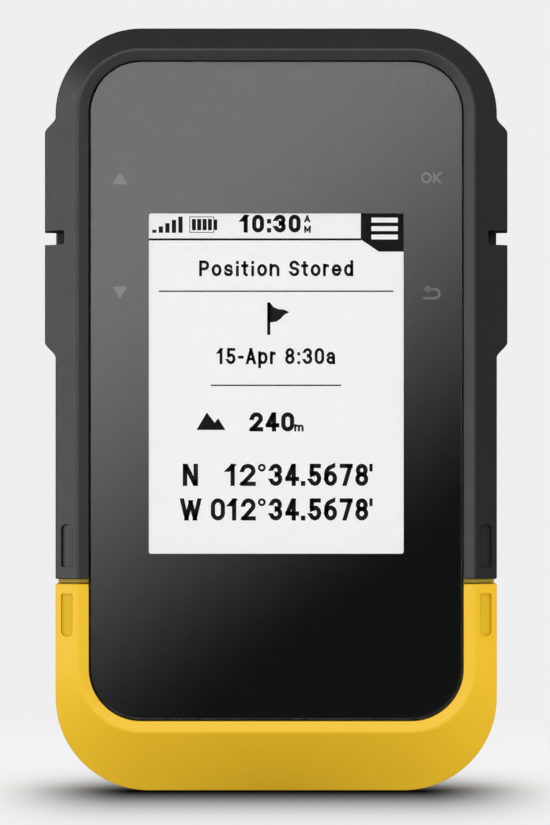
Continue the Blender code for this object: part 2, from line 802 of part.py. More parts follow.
def build_ring():
    """The D-ring: its two ends turn in the latch's lug."""
    inner, steps = 2.4, 16
    points = [(inner, RING_DEPTH, LATCH_Z), (RING_RADIUS - 1.2, RING_DEPTH, LATCH_Z)]
    for step in range(steps + 1):
        angle = math.radians(-4 - 172 * step / steps)
        x, z = RING_RADIUS * math.cos(angle), RING_RADIUS * math.sin(angle)
        points.append((x, RING_DEPTH, LATCH_Z + z))
    points += [(-RING_RADIUS + 1.2, RING_DEPTH, LATCH_Z), (-inner, RING_DEPTH, LATCH_Z)]
    wire("latch_ring", points, RING_WIRE, STEEL)


# ---------------------------------------------------------------- keys and flap


def build_key(side, place, sign, z, name):
    """A rubber key: its cap stands out of the side wall, its flange seals behind the wall."""
    cap_x = sorted((sign * 26.9, sign * KEY_TOP))
    length = (z - KEY_HALF_LENGTH, z + KEY_HALF_LENGTH)
    key = block(name, cap_x, (KEY_LOW_DEPTH, KEY_HIGH_DEPTH), length, BLACK_RUBBER, 0.7)
    flange_x = sorted((sign * 26.55, sign * 27.05))
    reach = KEY_HALF_LENGTH + 0.7
    flange = block(f"{name}_flange", flange_x, (7.1, 13.4), (z - reach, z + reach))
    plunger = cylinder(f"{name}_plunger", 1.2, (sign * 25.8, 10.2, z), 1.9, "X", sides=16)
    return join(key, flange, plunger)


def build_keys():
    names = {
        ("left", "upper"): "up_key",
        ("left", "lower"): "down_key",
        ("right", "upper"): "ok_key",
        ("right", "lower"): "back_key",
    }
    for (side, place), name in names.items():
        sign = -1 if side == "left" else 1
        build_key(side, place, sign, KEY_CENTRES[place], name)


def build_flap():
    """The rubber flap over the USB socket. It swings on the thin web beside its anchor."""
    low, high = USB_Z - FLAP_HALF_HEIGHT, USB_Z + FLAP_HALF_HEIGHT
    middle, half = (FLAP_LEFT + FLAP_RIGHT) / 2, (FLAP_RIGHT - FLAP_LEFT) / 2
    lid_outline = [(middle + x, z) for x, z in rounded_box(half, low, high, 1.2)]
    flap = slab("usb_flap", [lid_outline], 22.3, HOUSING_BACK, BLACK_RUBBER)
    plug = slab("flap_plug", [rounded_box(5.5, USB_Z - 2.3, USB_Z + 2.3, 1.4)], 20.4, 22.8)
    join(flap, plug)
    anchor_half = 1.45
    anchor = [(-11.25 + x, z) for x, z in rounded_box(anchor_half, low, high, 0.6)]
    slab("usb_flap_anchor", [anchor], 22.3, HOUSING_BACK, BLACK_RUBBER)


# ---------------------------------------------------------------- everything


build_bezel()
build_lower_shell()
build_front_frame()
build_glass()
build_screen()
build_board()
build_usb_socket()
both_sides(build_key_electronics)
build_housing()
build_seal()
build_screws()
build_contacts()
build_cover()
build_latch()
build_latch_seal()
build_latch_clip()
build_keeper()
build_ring()
build_keys()
build_flap()
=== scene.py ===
"""Looks of the handheld GPS unit: finer case, glass, screen content, materials, studio and camera.

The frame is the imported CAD: +Z up the long side, +X to the right of the screen, the screen faces -Y.
Sizes below are in millimetres, and a depth is counted from the front of the case towards its back.
"""

import math

import bmesh
import bpy
from mathutils import Matrix, Vector


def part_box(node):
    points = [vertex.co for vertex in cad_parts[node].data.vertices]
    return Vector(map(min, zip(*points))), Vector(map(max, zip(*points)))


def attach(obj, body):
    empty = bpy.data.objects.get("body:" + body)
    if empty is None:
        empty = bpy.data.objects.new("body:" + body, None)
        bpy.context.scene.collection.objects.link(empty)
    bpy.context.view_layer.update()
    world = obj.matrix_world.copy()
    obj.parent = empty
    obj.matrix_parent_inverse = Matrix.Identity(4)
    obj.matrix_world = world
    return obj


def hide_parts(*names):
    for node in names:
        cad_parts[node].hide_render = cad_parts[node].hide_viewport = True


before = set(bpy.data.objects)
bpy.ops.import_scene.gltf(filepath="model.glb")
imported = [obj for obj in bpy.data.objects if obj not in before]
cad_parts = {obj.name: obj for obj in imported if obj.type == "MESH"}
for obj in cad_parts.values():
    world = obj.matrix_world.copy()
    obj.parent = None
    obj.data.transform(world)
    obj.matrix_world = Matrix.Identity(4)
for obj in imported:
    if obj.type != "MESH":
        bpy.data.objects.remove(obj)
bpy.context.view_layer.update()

MM = 0.001

# Overall size
DEPTH = 33.0
HALF_WIDTH = 29.38
HEIGHT = 101.6
CORNER_LOW, CORNER_HIGH = 12.4, 11.45
CORNER_STEPS, SPACING = 26, 0.6

# Front: the crest round the glass, as half width, low, high and corner radius
CREST_HALF, CREST_LOW, CREST_HIGH, CREST_RADIUS = 26.43, 7.93, 98.75, 8.5
RIM = 1.50
RIM_DEPTH = 0.45
CHAMFER_SLOPE = 0.84
BEZEL_BACK = 5.6
WALL, CHAMFER_THICK = 2.0, 2.5
SEAT_DEPTH = 3.4
LENS = (24.70, 9.70, 97.13, 6.83)
LENS_FRONT, LENS_BACK = 0.6, 1.95
SCREEN_HALF, SCREEN_LOW, SCREEN_HIGH = 16.95, 31.68, 76.95
PANEL_FRONT = 2.4
PRINT_THICK = 0.02
SHARP_CORNER = 0.5

# Ears and their notches
EAR_HALF = 30.82
EAR_LOW, EAR_HIGH, EAR_SHOULDER = 58.8, 88.73, 2.1
EAR_STEPS = 14
NOTCH_LOW, NOTCH_HIGH, NOTCH_HALF = 72.82, 74.78, 28.2

# Split between the bezel and the lower shell, and the lip in it
END_GAP = 0.05
BEZEL_END = 28.46
SHELL_END = 27.53
LIP_LOW = 27.87
LIP_SETS = ((LIP_LOW, 0.75, 0.38), (SHELL_END - 0.6, 1.7, 1.0))
SHELL_BACK = 20.8

# Grip slots in the chamfer, as low, high and the corner radii at those ends
SLOT_HALF, SLOT_MIDDLE, SLOT_SINK = 0.74, 27.86, 0.42
SLOT_TALL_SHARE = 0.25
BEZEL_SLOT = (29.95, 35.6, 0.3, 0.7)
SHELL_SLOT = (20.72, 26.36, 0.7, 0.25)

# Rear housing, its bay and the battery cover
HOUSING_FRONT, HOUSING_BACK = 5.9, 23.5
ROUNDING_START, ROUNDING_INSET = 21.9, 3.9
BAY_HALF, BAY_LOW, BAY_HIGH, BAY_FLOOR = 15.6, 25.0, 80.6, 13.2
COVER_HALF, COVER_LOW, COVER_HIGH = 21.0, 7.2, 88.1
COVER_FACE, BULGE_TOP = 26.2, 29.9
RAIL_LOW, RAIL_HIGH = 36.0, 78.0

# Latch and D-ring
LATCH_Z = 16.0
DISH_RADIUS = 8.0
FLUTES, FLUTE_RADIUS = 24, 7.75
RING_RADIUS, RING_WIRE, RING_DEPTH = 6.6, 0.8, 26.75

# Keys, as centre heights
UPPER_KEY, LOWER_KEY = 81.1, 66.3
KEY_HALF_LENGTH = 5.8
KEY_LOW_DEPTH, KEY_HIGH_DEPTH = 7.3, 12.7
KEY_TOP = 30.45
KEY_CLEARANCE = 0.25

# USB flap
USB_Z = 92.9
FLAP_HALF_HEIGHT = 3.2
FLAP_LEFT, FLAP_RIGHT = -8.0, 8.6

# Middle range of a noise texture's values
NOISE_LOW, NOISE_HIGH = 0.3, 0.7

# Camera and stage
CAMERA_DISTANCE = 1200.0
FRAME_HEIGHT = 109.6
AIM_X, AIM_Z = -0.16, 50.47


# -------- modelling helpers


def place(x, depth, z):
    """A point given in millimetres and depth, as metres in the frame."""
    return Vector((x, depth - DEPTH / 2, z)) * MM


def link(name, data):
    obj = bpy.data.objects.new(name, data)
    bpy.context.scene.collection.objects.link(obj)
    return obj


def solid(name, bm):
    bmesh.ops.recalc_face_normals(bm, faces=bm.faces)
    mesh = bpy.data.meshes.new(name)
    bm.to_mesh(mesh)
    bm.free()
    return link(name, mesh)


def evaluated(obj):
    """An object as its modifiers make it, and its graph."""
    bpy.context.view_layer.update()
    graph = bpy.context.evaluated_depsgraph_get()
    return obj.evaluated_get(graph), graph


def bake(obj):
    """Applies an object's modifiers, or turns a curve into a mesh with its ends welded."""
    mesh = bpy.data.meshes.new_from_object(evaluated(obj)[0])
    mesh.transform(obj.matrix_world)
    bm = bmesh.new()
    bm.from_mesh(mesh)
    bmesh.ops.remove_doubles(bm, verts=bm.verts, dist=1e-7)
    bm.to_mesh(mesh)
    bm.free()
    name = obj.name
    bpy.data.objects.remove(obj)
    return link(name, mesh)


def smooth(obj, angle=30):
    """Smooth shading that keeps large flat faces flat and edges sharper than the angle sharp."""
    obj.data.shade_smooth()
    obj.data.set_sharp_from_angle(angle=math.radians(angle))
    weigh = obj.modifiers.new("normals", "WEIGHTED_NORMAL")
    weigh.keep_sharp = True
    weigh.weight = 80
    shaded, graph = evaluated(obj)
    mesh = bpy.data.meshes.new_from_object(shaded, preserve_all_data_layers=True, depsgraph=graph)
    obj.modifiers.clear()
    obj.data = mesh
    return obj


def boolean(obj, tools, operation):
    for tool in tools:
        modifier = obj.modifiers.new(tool.name, "BOOLEAN")
        modifier.operation = operation
        modifier.solver = "EXACT"
        modifier.object = tool
        obj = bake(obj)
        bpy.data.objects.remove(tool)
    return obj


def cut(obj, *tools):
    return boolean(obj, tools, "DIFFERENCE")


def join(obj, *tools):
    return boolean(obj, tools, "UNION")


def bevel(obj, width, segments, angle=40):
    modifier = obj.modifiers.new("edges", "BEVEL")
    modifier.width = width * MM
    modifier.segments = segments
    modifier.limit_method = "ANGLE"
    modifier.angle_limit = math.radians(angle)
    modifier.use_clamp_overlap = True
    return bake(obj)


def arc(x, z, half_width, half_height, start, end, steps=9):
    """Points along part of an ellipse, from one angle to another in degrees."""
    turns = [math.radians(start + (end - start) * step / steps) for step in range(steps + 1)]
    return [(x + half_width * math.cos(turn), z + half_height * math.sin(turn)) for turn in turns]


def oval(x, z, half_width, half_height):
    return arc(x, z, half_width, half_height, 0, 360, 20)


def quarter(steps):
    """Sine and one minus cosine at even steps through a right angle."""
    turns = [math.radians(90 * step / steps) for step in range(steps + 1)]
    return [(math.sin(turn), 1 - math.cos(turn)) for turn in turns]


def rounded_box(half, low, high, r_low, r_high=None, steps=16):
    """A rounded rectangle in X and Z, anticlockwise from its lower right corner."""
    r_high = r_low if r_high is None else r_high
    corners = (
        (half - r_low, low + r_low, r_low, -90),
        (half - r_high, high - r_high, r_high, 0),
        (r_high - half, high - r_high, r_high, 90),
        (r_low - half, low + r_low, r_low, 180),
    )
    points = []
    for x, z, radius, start in corners:
        points += arc(x, z, radius, radius, start, start + 90, steps)
    return points


def case_outline(inset=0.0):
    low, high = CORNER_LOW - inset, CORNER_HIGH - inset
    return rounded_box(HALF_WIDTH - inset, inset, HEIGHT - inset, low, high, 20)


def stitch(bm, first, second):
    """Faces between two rings of vertices."""
    for index in range(len(first)):
        after = (index + 1) % len(first)
        bm.faces.new((first[index], first[after], second[after], second[index]))


def cap(bm, rings):
    """A face over each end of a run of rings."""
    bm.faces.new(rings[0])
    bm.faces.new(list(reversed(rings[-1])))


def sew(bm, rings, closed):
    """Joins a run of rings. An open run gets two end caps."""
    for first, second in zip(rings, rings[1:] + rings[:1] if closed else rings[1:]):
        stitch(bm, first, second)
    if not closed:
        cap(bm, rings)


def prism(bm, outline, front, back):
    """A flat outline between two depths."""
    rings = [[bm.verts.new(place(x, depth, z)) for x, z in outline] for depth in (front, back)]
    cap(bm, rings)
    stitch(bm, *rings)


def slab(name, outline, front, back):
    bm = bmesh.new()
    prism(bm, outline, front, back)
    return solid(name, bm)


def skin(name, sections, closed=False):
    """A solid through sections of equal point counts, in metres."""
    bm = bmesh.new()
    sew(bm, [[bm.verts.new(point) for point in section] for section in sections], closed)
    return solid(name, bm)


def loft(name, sections):
    """A solid through (outline, depth) sections."""
    return skin(name, [[place(x, depth, z) for x, z in outline] for outline, depth in sections])


def block(name, x, depth, z, round_off=0.0, segments=3):
    bm = bmesh.new()
    bmesh.ops.create_cube(bm, size=1)
    size = Vector((x[1] - x[0], depth[1] - depth[0], z[1] - z[0]))
    middle = place(sum(x) / 2, sum(depth) / 2, sum(z) / 2)
    bm.transform(Matrix.Translation(middle) @ Matrix.Diagonal((*(size * MM), 1)))
    obj = solid(name, bm)
    return bevel(obj, round_off, segments) if round_off else obj


def cylinder(name, radius, centre, length, axis="Y", sides=64, top_radius=None):
    turn = Matrix.Rotation(math.pi / 2, 4, "Y") if axis == "X" else Matrix.Rotation(-math.pi / 2, 4, "X")
    bm = bmesh.new()
    bmesh.ops.create_cone(
        bm,
        cap_ends=True,
        segments=sides,
        radius1=radius * MM,
        radius2=(radius if top_radius is None else top_radius) * MM,
        depth=length * MM,
    )
    bm.transform(Matrix.Translation(place(*centre)) @ turn)
    return solid(name, bm)


def rounded_path(corners, steps=4):
    """A closed path of (a, b, radius) corners, with equal counts for equally rounded corners."""
    path = []
    for index, (a, b, radius) in enumerate(corners):
        here = Vector((a, b))
        if radius == 0:
            path.append(here)
            continue
        before = Vector(corners[index - 1][:2]) - here
        after = Vector(corners[(index + 1) % len(corners)][:2]) - here
        setback = radius / math.tan(before.angle(after) / 2)
        setback = min(setback, 0.45 * before.length, 0.45 * after.length)
        start = here + before.normalized() * setback
        end = here + after.normalized() * setback
        for step in range(steps + 1):
            t = step / steps
            path.append(start * (1 - t) ** 2 + here * 2 * t * (1 - t) + end * t**2)
    return path


def turned(name, corners, centre):
    """A solid turned about Y. corners are (radius, depth, rounding) from the axis out and back to it."""
    path = rounded_path(corners, 5)
    sides = 96
    bm = bmesh.new()
    rings = []
    for side in range(sides):
        angle = 2 * math.pi * side / sides
        ring = []
        for radius, depth in path[1:-1]:
            x, z = centre[0] + radius * math.cos(angle), centre[1] + radius * math.sin(angle)
            ring.append(bm.verts.new(place(x, depth, z)))
        rings.append(ring)
    ends = [bm.verts.new(place(centre[0], path[end][1], centre[1])) for end in (0, -1)]
    for first, second in zip(rings, rings[1:] + rings[:1]):
        for index in range(len(first) - 1):
            bm.faces.new((first[index], first[index + 1], second[index + 1], second[index]))
        bm.faces.new((ends[0], first[0], second[0]))
        bm.faces.new((ends[1], second[-1], first[-1]))
    return solid(name, bm)


def tube(name, points, radius):
    """A round wire through (x, depth, z) points."""
    curve = bpy.data.curves.new(name, "CURVE")
    curve.dimensions = "3D"
    curve.bevel_depth = radius * MM
    curve.bevel_resolution = 6
    curve.use_fill_caps = True
    spline = curve.splines.new("POLY")
    spline.points.add(len(points) - 1)
    for target, point in zip(spline.points, points):
        target.co = (*place(*point), 1)
    return smooth(bake(link(name, curve)))


# -------- front of the case


def silhouette(with_ears):
    """The outline seen from the front, finely sampled, from the bottom's middle anticlockwise."""
    right = [(0.0, 0.0)]
    right += arc(HALF_WIDTH - CORNER_LOW, CORNER_LOW, CORNER_LOW, CORNER_LOW, -90, 0, CORNER_STEPS)
    if with_ears:
        rise = EAR_HALF - HALF_WIDTH
        shares = [step / EAR_STEPS for step in range(EAR_STEPS + 1)]
        ease = [share**2 * (3 - 2 * share) for share in shares]
        climb = [share * EAR_SHOULDER - EAR_SHOULDER / 2 for share in shares]
        right += [(HALF_WIDTH + rise * e, EAR_LOW + c) for e, c in zip(ease, climb)]
        right += [(HALF_WIDTH + rise * e, EAR_HIGH - c) for e, c in reversed(list(zip(ease, climb)))]
    high_x, high_z = HALF_WIDTH - CORNER_HIGH, HEIGHT - CORNER_HIGH
    right += arc(high_x, high_z, CORNER_HIGH, CORNER_HIGH, 0, 90, CORNER_STEPS)
    right.append((0.0, HEIGHT))
    fine = [right[0]]
    for start, end in zip(right, right[1:]):
        parts = max(1, math.ceil(math.dist(start, end) / SPACING))
        for part in range(1, parts + 1):
            share = part / parts
            fine.append((start[0] + (end[0] - start[0]) * share, start[1] + (end[1] - start[1]) * share))
    return fine + [(-x, z) for x, z in reversed(fine[1:-1])]


def ray(x, z):
    """The crest's corner centre that faces a point, the way out to it, and its reach past the crest."""
    core = CREST_HALF - CREST_RADIUS
    low, high = CREST_LOW + CREST_RADIUS, CREST_HIGH - CREST_RADIUS
    centre = Vector((max(-core, min(core, x)), max(low, min(high, z))))
    out = Vector((x, z)) - centre
    return centre, out.normalized(), out.length - CREST_RADIUS


def front_section(x, z, back, sink, narrow, rim=-RIM):
    """The case's cross-section on the ray through a silhouette point, as points in metres.

    sink lowers the front surfaces, narrow draws in the side, and rim is where the opening's wall stands.
    """
    centre, out, reach = ray(x, z)
    reach -= narrow
    inner = reach - WALL + narrow
    corners = (
        (rim, SEAT_DEPTH, 0),
        (rim, RIM_DEPTH + sink, 0.10),
        (0, sink, 0.6),
        (reach, reach * CHAMFER_SLOPE + sink, 0.55),
        (reach, back - narrow, 0.2),
        (inner, back - narrow, 0),
        (inner, max(inner, 0.1) * CHAMFER_SLOPE + CHAMFER_THICK, 0),
        (-0.2, SEAT_DEPTH, 0),
    )
    section = []
    for distance, depth in rounded_path(corners):
        point = centre + out * (CREST_RADIUS + distance)
        section.append(place(point.x, depth, point.y))
    return section


def strip(name, outline, back, sink=0.0, narrow=0.0, soften=0.14):
    """A run of the case front along an outline, with its two ends slightly rounded."""
    sections = [front_section(x, z, back, sink, narrow) for x, z in outline]
    if soften:
        for end, beside in ((0, 1), (-1, -2)):
            step = Vector(outline[end]) - Vector(outline[beside])
            shift = Vector((0, 0, step.normalized().y * soften * MM))
            rounded = front_section(*outline[end], back, soften, soften, -RIM + soften)
            sections.insert(0 if end == 0 else len(sections), [point + shift for point in rounded])
    return skin(name, sections)


def run_above(low):
    """The silhouette with ears, above a height."""
    run = [(x, z) for x, z in silhouette(True) if z > low + END_GAP]
    return [(run[0][0], low)] + run + [(run[-1][0], low)]


def run_below(high):
    """The plain silhouette, below a height."""
    whole = silhouette(False)
    half = len(whole) // 2
    run = [(x, z) for x, z in whole[half:] + whole[:half] if z < high - END_GAP]
    return [(run[0][0], high)] + run + [(run[-1][0], high)]


def slot_ring(sign, slot, lift, grow):
    """One level of a grip slot, parallel to the chamfer, this far under it and grown by a share."""
    low, high, r_low, r_high = slot
    points = []
    for x, z in rounded_box(SLOT_HALF, low, high, r_low, r_high, steps=10):
        wide = x * (1 + grow)
        depth = (SLOT_MIDDLE + wide - CREST_HALF) * CHAMFER_SLOPE + lift
        tall = (z - (low + high) / 2) * grow * SLOT_TALL_SHARE
        points.append(place(sign * (SLOT_MIDDLE + wide), depth, z + tall))
    return points


def grip_slot(sign, slot):
    """Cutter for the shallow slot in the chamfer."""
    levels = ((-1.6, 0.12), (0.0, 0.06), (SLOT_SINK, 0.0))
    return skin("slot", [slot_ring(sign, slot, lift, grow) for lift, grow in levels])


def slot_floor(sign):
    lifts = (SLOT_SINK - 0.05, SLOT_SINK + 0.2)
    return skin("slot_floor", [slot_ring(sign, SHELL_SLOT, lift, -0.02) for lift in lifts])


def make_slot_floors():
    """The matt floors of the yellow shell's grip slots, whose darker yellow is painted shade."""
    return smooth(merge("slot_floors", [slot_floor(sign) for sign in (-1, 1)]))


def notch_cutter(sign):
    """Cutter for an ear's notch: rounded at its inner end, its upper face sloping down to the back."""
    mouth, low = EAR_HALF + 1.5, NOTCH_LOW
    flare, corner = 0.08, 0.35
    sections = []
    for depth, drop in ((-1, -0.25), (8, 0.65)):
        high = NOTCH_HIGH - drop
        points = [(mouth, high + flare), (mouth, low - flare)]
        for start, z in ((270, low + corner), (180, high - corner)):
            points += arc(NOTCH_HALF + corner, z, corner, corner, start, start - 90, 6)
        sections.append([place(sign * x, depth, z) for x, z in points])
    return skin("notch", sections)


def make_bezel():
    tools = []
    for sign in (-1, 1):
        tools += [notch_cutter(sign), grip_slot(sign, BEZEL_SLOT)]
    return smooth(cut(strip("bezel", run_above(BEZEL_END), BEZEL_BACK), *tools))


def make_lower_shell():
    tools = [grip_slot(sign, SHELL_SLOT) for sign in (-1, 1)]
    return smooth(cut(strip("lower_case", run_below(SHELL_END), SHELL_BACK), *tools))


def make_lip():
    """The recessed lip of the yellow shell that shows in the split, with the web behind it."""
    lips = []
    for sign in (-1, 1):
        for low, sink, narrow in LIP_SETS:
            outline = [(sign * HALF_WIDTH, low), (sign * HALF_WIDTH, BEZEL_END + 0.3)]
            lips.append(strip("lip", outline, SHELL_BACK - 0.4, sink, narrow, soften=0))
    return smooth(merge("case_lip", lips))


def merge(name, objects):
    """One object that holds several separate solids."""
    bm = bmesh.new()
    for obj in objects:
        bm.from_mesh(obj.data)
        bpy.data.objects.remove(obj)
    return solid(name, bm)


def make_lens():
    half, low, high, radius = LENS
    lens = slab("cover_glass", rounded_box(half, low, high, radius, steps=24), LENS_FRONT, LENS_BACK)
    return smooth(bevel(lens, 0.05, 2, 60), 12)


# -------- screen and prints


# Letters as the middle lines of their strokes, in a box one wide and one cap height tall
STEM = [(0, 0), (0, 0.75)]
BOWL = oval(0.5, 0.36, 0.5, 0.36)
GLYPHS = {
    "0": [arc(0.5, 0.7, 0.5, 0.3, 0, 180) + arc(0.5, 0.3, 0.5, 0.3, 180, 360) + [(1, 0.7)]],
    "1": [[(0.65, 0), (0.65, 1)], [(0.1, 0.79), (0.55, 0.97)]],
    "2": [arc(0.5, 0.72, 0.5, 0.28, 170, -25) + [(0.12, 0.06)], [(0, 0), (1.03, 0)]],
    "3": [arc(0.48, 0.76, 0.46, 0.24, 160, -75), arc(0.48, 0.265, 0.5, 0.265, 78, -160)],
    "4": [[(0.72, 0), (0.72, 1)], [(0.62, 1), (0.08, 0.36)], [(0.02, 0.27), (1.08, 0.27)]],
    "5": [[(0.93, 1), (0.14, 1), (0.11, 0.6)] + arc(0.48, 0.3, 0.5, 0.3, 130, -155)],
    "6": [[(0.8, 1)] + arc(0.62, 0.52, 0.62, 0.42, 110, 180) + arc(0.5, 0.3, 0.5, 0.3, 180, 530, 18)],
    "7": [[(0, 1), (1, 1)], [(0.95, 0.97), (0.36, 0)]],
    "8": [oval(0.5, 0.76, 0.44, 0.24), oval(0.5, 0.265, 0.5, 0.265)],
    "A": [[(0, 0), (0.5, 1), (1, 0)], [(0.18, 0.28), (0.82, 0.28)]],
    "M": [[(0, 0), (0, 1), (0.5, 0.25), (1, 1), (1, 0)]],
    "N": [[(0, 0), (0, 1)], [(0.1, 1), (0.9, 0)], [(1, 0), (1, 1)]],
    "P": [[(0, 0), (0, 1), (0.5, 1)] + arc(0.55, 0.73, 0.45, 0.27, 90, -90) + [(0, 0.46)]],
    "S": [arc(0.5, 0.745, 0.48, 0.255, 20, 265) + arc(0.5, 0.25, 0.5, 0.25, 80, -160)],
    "W": [[(0, 1), (0.25, 0), (0.5, 0.9), (0.75, 0), (1, 1)]],
    "a": [arc(0.45, 0.5, 0.42, 0.22, 160, 10) + [(0.88, 0)], oval(0.44, 0.2, 0.44, 0.2)],
    "d": [oval(0.45, 0.36, 0.45, 0.36), [(0.9, 1.02), (0.9, 0)]],
    "e": [[(0.05, 0.37), (1, 0.37)] + arc(0.5, 0.36, 0.5, 0.36, 10, 315)],
    "i": [[(0.5, 0), (0.5, 0.6)], [(0.5, 0.94), (0.5, 0.96)]],
    "m": [
        STEM,
        [(0, 0.4)] + arc(0.25, 0.45, 0.25, 0.25, 170, 0) + [(0.5, 0)],
        [(0.5, 0.4)] + arc(0.75, 0.45, 0.25, 0.25, 170, 0) + [(1, 0)],
    ],
    "n": [STEM, [(0, 0.4)] + arc(0.5, 0.42, 0.5, 0.3, 160, 0) + [(1, 0)]],
    "o": [BOWL],
    "p": [[(0, -0.3), (0, 0.75)], BOWL],
    "r": [STEM, [(0, 0.4)] + arc(0.75, 0.42, 0.75, 0.3, 160, 75)],
    "s": [arc(0.5, 0.54, 0.45, 0.18, 30, 260) + arc(0.5, 0.18, 0.5, 0.18, 80, -155)],
    "t": [[(0.4, 0.95), (0.4, 0.2)] + arc(0.85, 0.2, 0.45, 0.2, 190, 270), [(-0.15, 0.7), (1, 0.7)]],
    "-": [[(0, 0.42), (1, 0.42)]],
    ":": [[(0.5, 0), (0.5, 0.02)], [(0.5, 0.66), (0.5, 0.68)]],
    ".": [[(0.5, 0), (0.5, 0.02)]],
    "'": [[(0.5, 0.76), (0.5, 1.0)]],
    "\u00b0": [oval(0.5, 0.86, 0.5, 0.14)],
}
NARROW = {"i": 0.4, ".": 0.4, ":": 0.4, "'": 0.3, " ": 0.5, "t": 0.65, "r": 0.62, "-": 0.6}
NARROW |= {"1": 0.75, "s": 0.9}
WIDE = {"m": 1.6, "M": 1.3, "W": 1.5, "A": 1.05}


def square_end(point, step, weight, outward):
    """A stroke's end, run on by half its weight and cut level or upright, as its middle and side."""
    if abs(step.y) >= abs(step.x):
        return point + outward * step * (weight / 2 / abs(step.y)), Vector((-weight / 2 / step.y, 0))
    return point + outward * step * (weight / 2 / abs(step.x)), Vector((0, weight / 2 / step.x))


class Print:
    """Thin flat shapes at one depth."""

    def __init__(self, front):
        self.bm = bmesh.new()
        self.front = front

    def plate(self, outline):
        """A filled shape."""
        prism(self.bm, outline, self.front, self.front + PRINT_THICK)

    def bar(self, left, right, low, high):
        self.plate([(left, low), (right, low), (right, high), (left, high)])

    def stroke(self, path, weight):
        """A line of even weight, split at its sharp corners. A path back to its start is a loop."""
        points = [Vector(point) for point in path]
        closed = (points[0] - points[-1]).length < 1e-6
        if closed:
            points.pop()
        steps = [(after - before).normalized() for before, after in zip(points, points[1:] + points[:1])]
        if not closed:
            for index in range(1, len(points) - 1):
                if steps[index].dot(steps[index - 1]) < SHARP_CORNER:
                    self.stroke(path[: index + 1], weight)
                    self.stroke(path[index:], weight)
                    return
        rings = []
        for index, point in enumerate(points):
            ahead, behind = steps[index], steps[index - 1]
            if not closed and index == 0:
                middle, side = square_end(point, ahead, weight, -1)
            elif not closed and index == len(points) - 1:
                middle, side = square_end(point, behind, weight, 1)
            else:
                along = (ahead + behind).normalized()
                middle = point
                side = Vector((-along.y, along.x)) * (weight / 2 / max(along.dot(ahead), 0.6))
            near, far = middle + side, middle - side
            back = self.front + PRINT_THICK
            corners = ((near, self.front), (far, self.front), (far, back), (near, back))
            rings.append([self.bm.verts.new(place(at.x, depth, at.y)) for at, depth in corners])
        sew(self.bm, rings, closed)

    def words(self, text, left, right, base, height, weight, gap=0.2):
        """Words that fill a width and stand a cap height above their base line."""
        widths = [NARROW.get(letter, WIDE.get(letter, 1.0)) for letter in text]
        unit = (right - left) / (sum(widths) + gap * (len(text) - 1))
        for letter, width in zip(text, widths):
            span = max(width * unit - weight, 0.001)
            start, foot = left + weight / 2, base + weight / 2
            for path in GLYPHS.get(letter, ()):
                self.stroke([(start + x * span, foot + z * (height - weight)) for x, z in path], weight)
            left += (width + gap) * unit

    def finish(self, name):
        return solid(name, self.bm)


def draw_status_bar(ink):
    """Signal strength, battery and clock, over a line that runs into the menu tab."""
    for number in range(5):
        left = -16.5 + number * 0.87
        ink.bar(left, left + 0.57, 74.38, 74.8 + number * 0.435)
    ink.stroke([(-11.5, 74.45), (-11.5, 76.5), (-8.3, 76.5), (-8.3, 74.45), (-11.5, 74.45)], 0.09)
    ink.bar(-8.3, -7.85, 74.75, 76.15)
    for number in range(4):
        left = -11.22 + number * 0.71
        ink.bar(left, left + 0.54, 74.72, 76.22)
    ink.words("10:30", -4.75, 3.25, 74.42, 2.38, 0.56, 0.22)
    ink.words("A", 3.72, 4.55, 75.77, 0.94, 0.22)
    ink.words("M", 3.72, 4.6, 74.38, 0.94, 0.22)
    edge = SCREEN_HALF + 0.2
    ink.bar(-edge, 11.3, 73.36, 73.64)
    ink.plate([(11.25, 73.5), (13.65, 71.87), (edge, 71.87), (edge, 77.1), (11.25, 77.1)])


def draw_waypoint(ink):
    """The title, the flag over its name, and the height."""
    ink.words("Position Stored", -10.25, 10.35, 68.6, 2.1, 0.38, 0.24)
    ink.bar(-15.6, 15.6, 66.52, 66.7)
    ink.bar(-1.2, -0.78, 60.8, 65.1)
    flag = arc(-0.99, 65.0, 0.21, 0.15, 180, 20, 6)
    flag += [(-0.35, 64.5), (0.3, 64.22), (1.1, 64.15), (1.75, 63.82)]
    flag += [(1.1, 63.5), (0.55, 62.9), (0.0, 62.55), (-0.8, 62.45), (-1.2, 62.6)]
    ink.plate(flag)
    ink.words("15-Apr 8:30a", -7.9, 7.95, 56.9, 2.15, 0.38, 0.24)
    ink.bar(-8.7, 8.65, 54.0, 54.18)
    ink.plate([(-10.6, 48.15), (-6.75, 48.15), (-7.72, 49.7), (-8.18, 49.1), (-9.23, 50.5)])
    ink.words("240", -3.5, 2.4, 47.95, 2.55, 0.58)
    ink.words("m", 2.4, 3.65, 47.95, 1.2, 0.27)


def draw_position(ink):
    """Two lines of degrees and minutes, and the compass letter of each."""
    tall, weight = 2.95, 0.57
    for base, first, start in ((40.7, "12", -6.7), (36.1, "012", -8.7)):
        ink.words(first, start, -2.75, base, tall, weight)
        ink.words("\u00b0", -2.44, -1.39, base, tall, 0.3)
        ink.words("34", -0.92, 2.95, base, tall, weight)
        ink.words(".", 3.27, 3.89, base, tall, 0.6)
        ink.words("5678", 4.3, 12.25, base, tall, weight)
        ink.words("'", 12.4, 12.83, base, tall, 0.42)
    ink.words("N", -12.43, -10.4, 40.7, tall, 0.6)
    ink.words("W", -12.78, -9.98, 36.1, tall, 0.56)


def make_screen_ink():
    """Everything dark on the screen."""
    ink = Print(PANEL_FRONT - 0.06)
    draw_status_bar(ink)
    draw_waypoint(ink)
    draw_position(ink)
    return ink.finish("screen_ink")


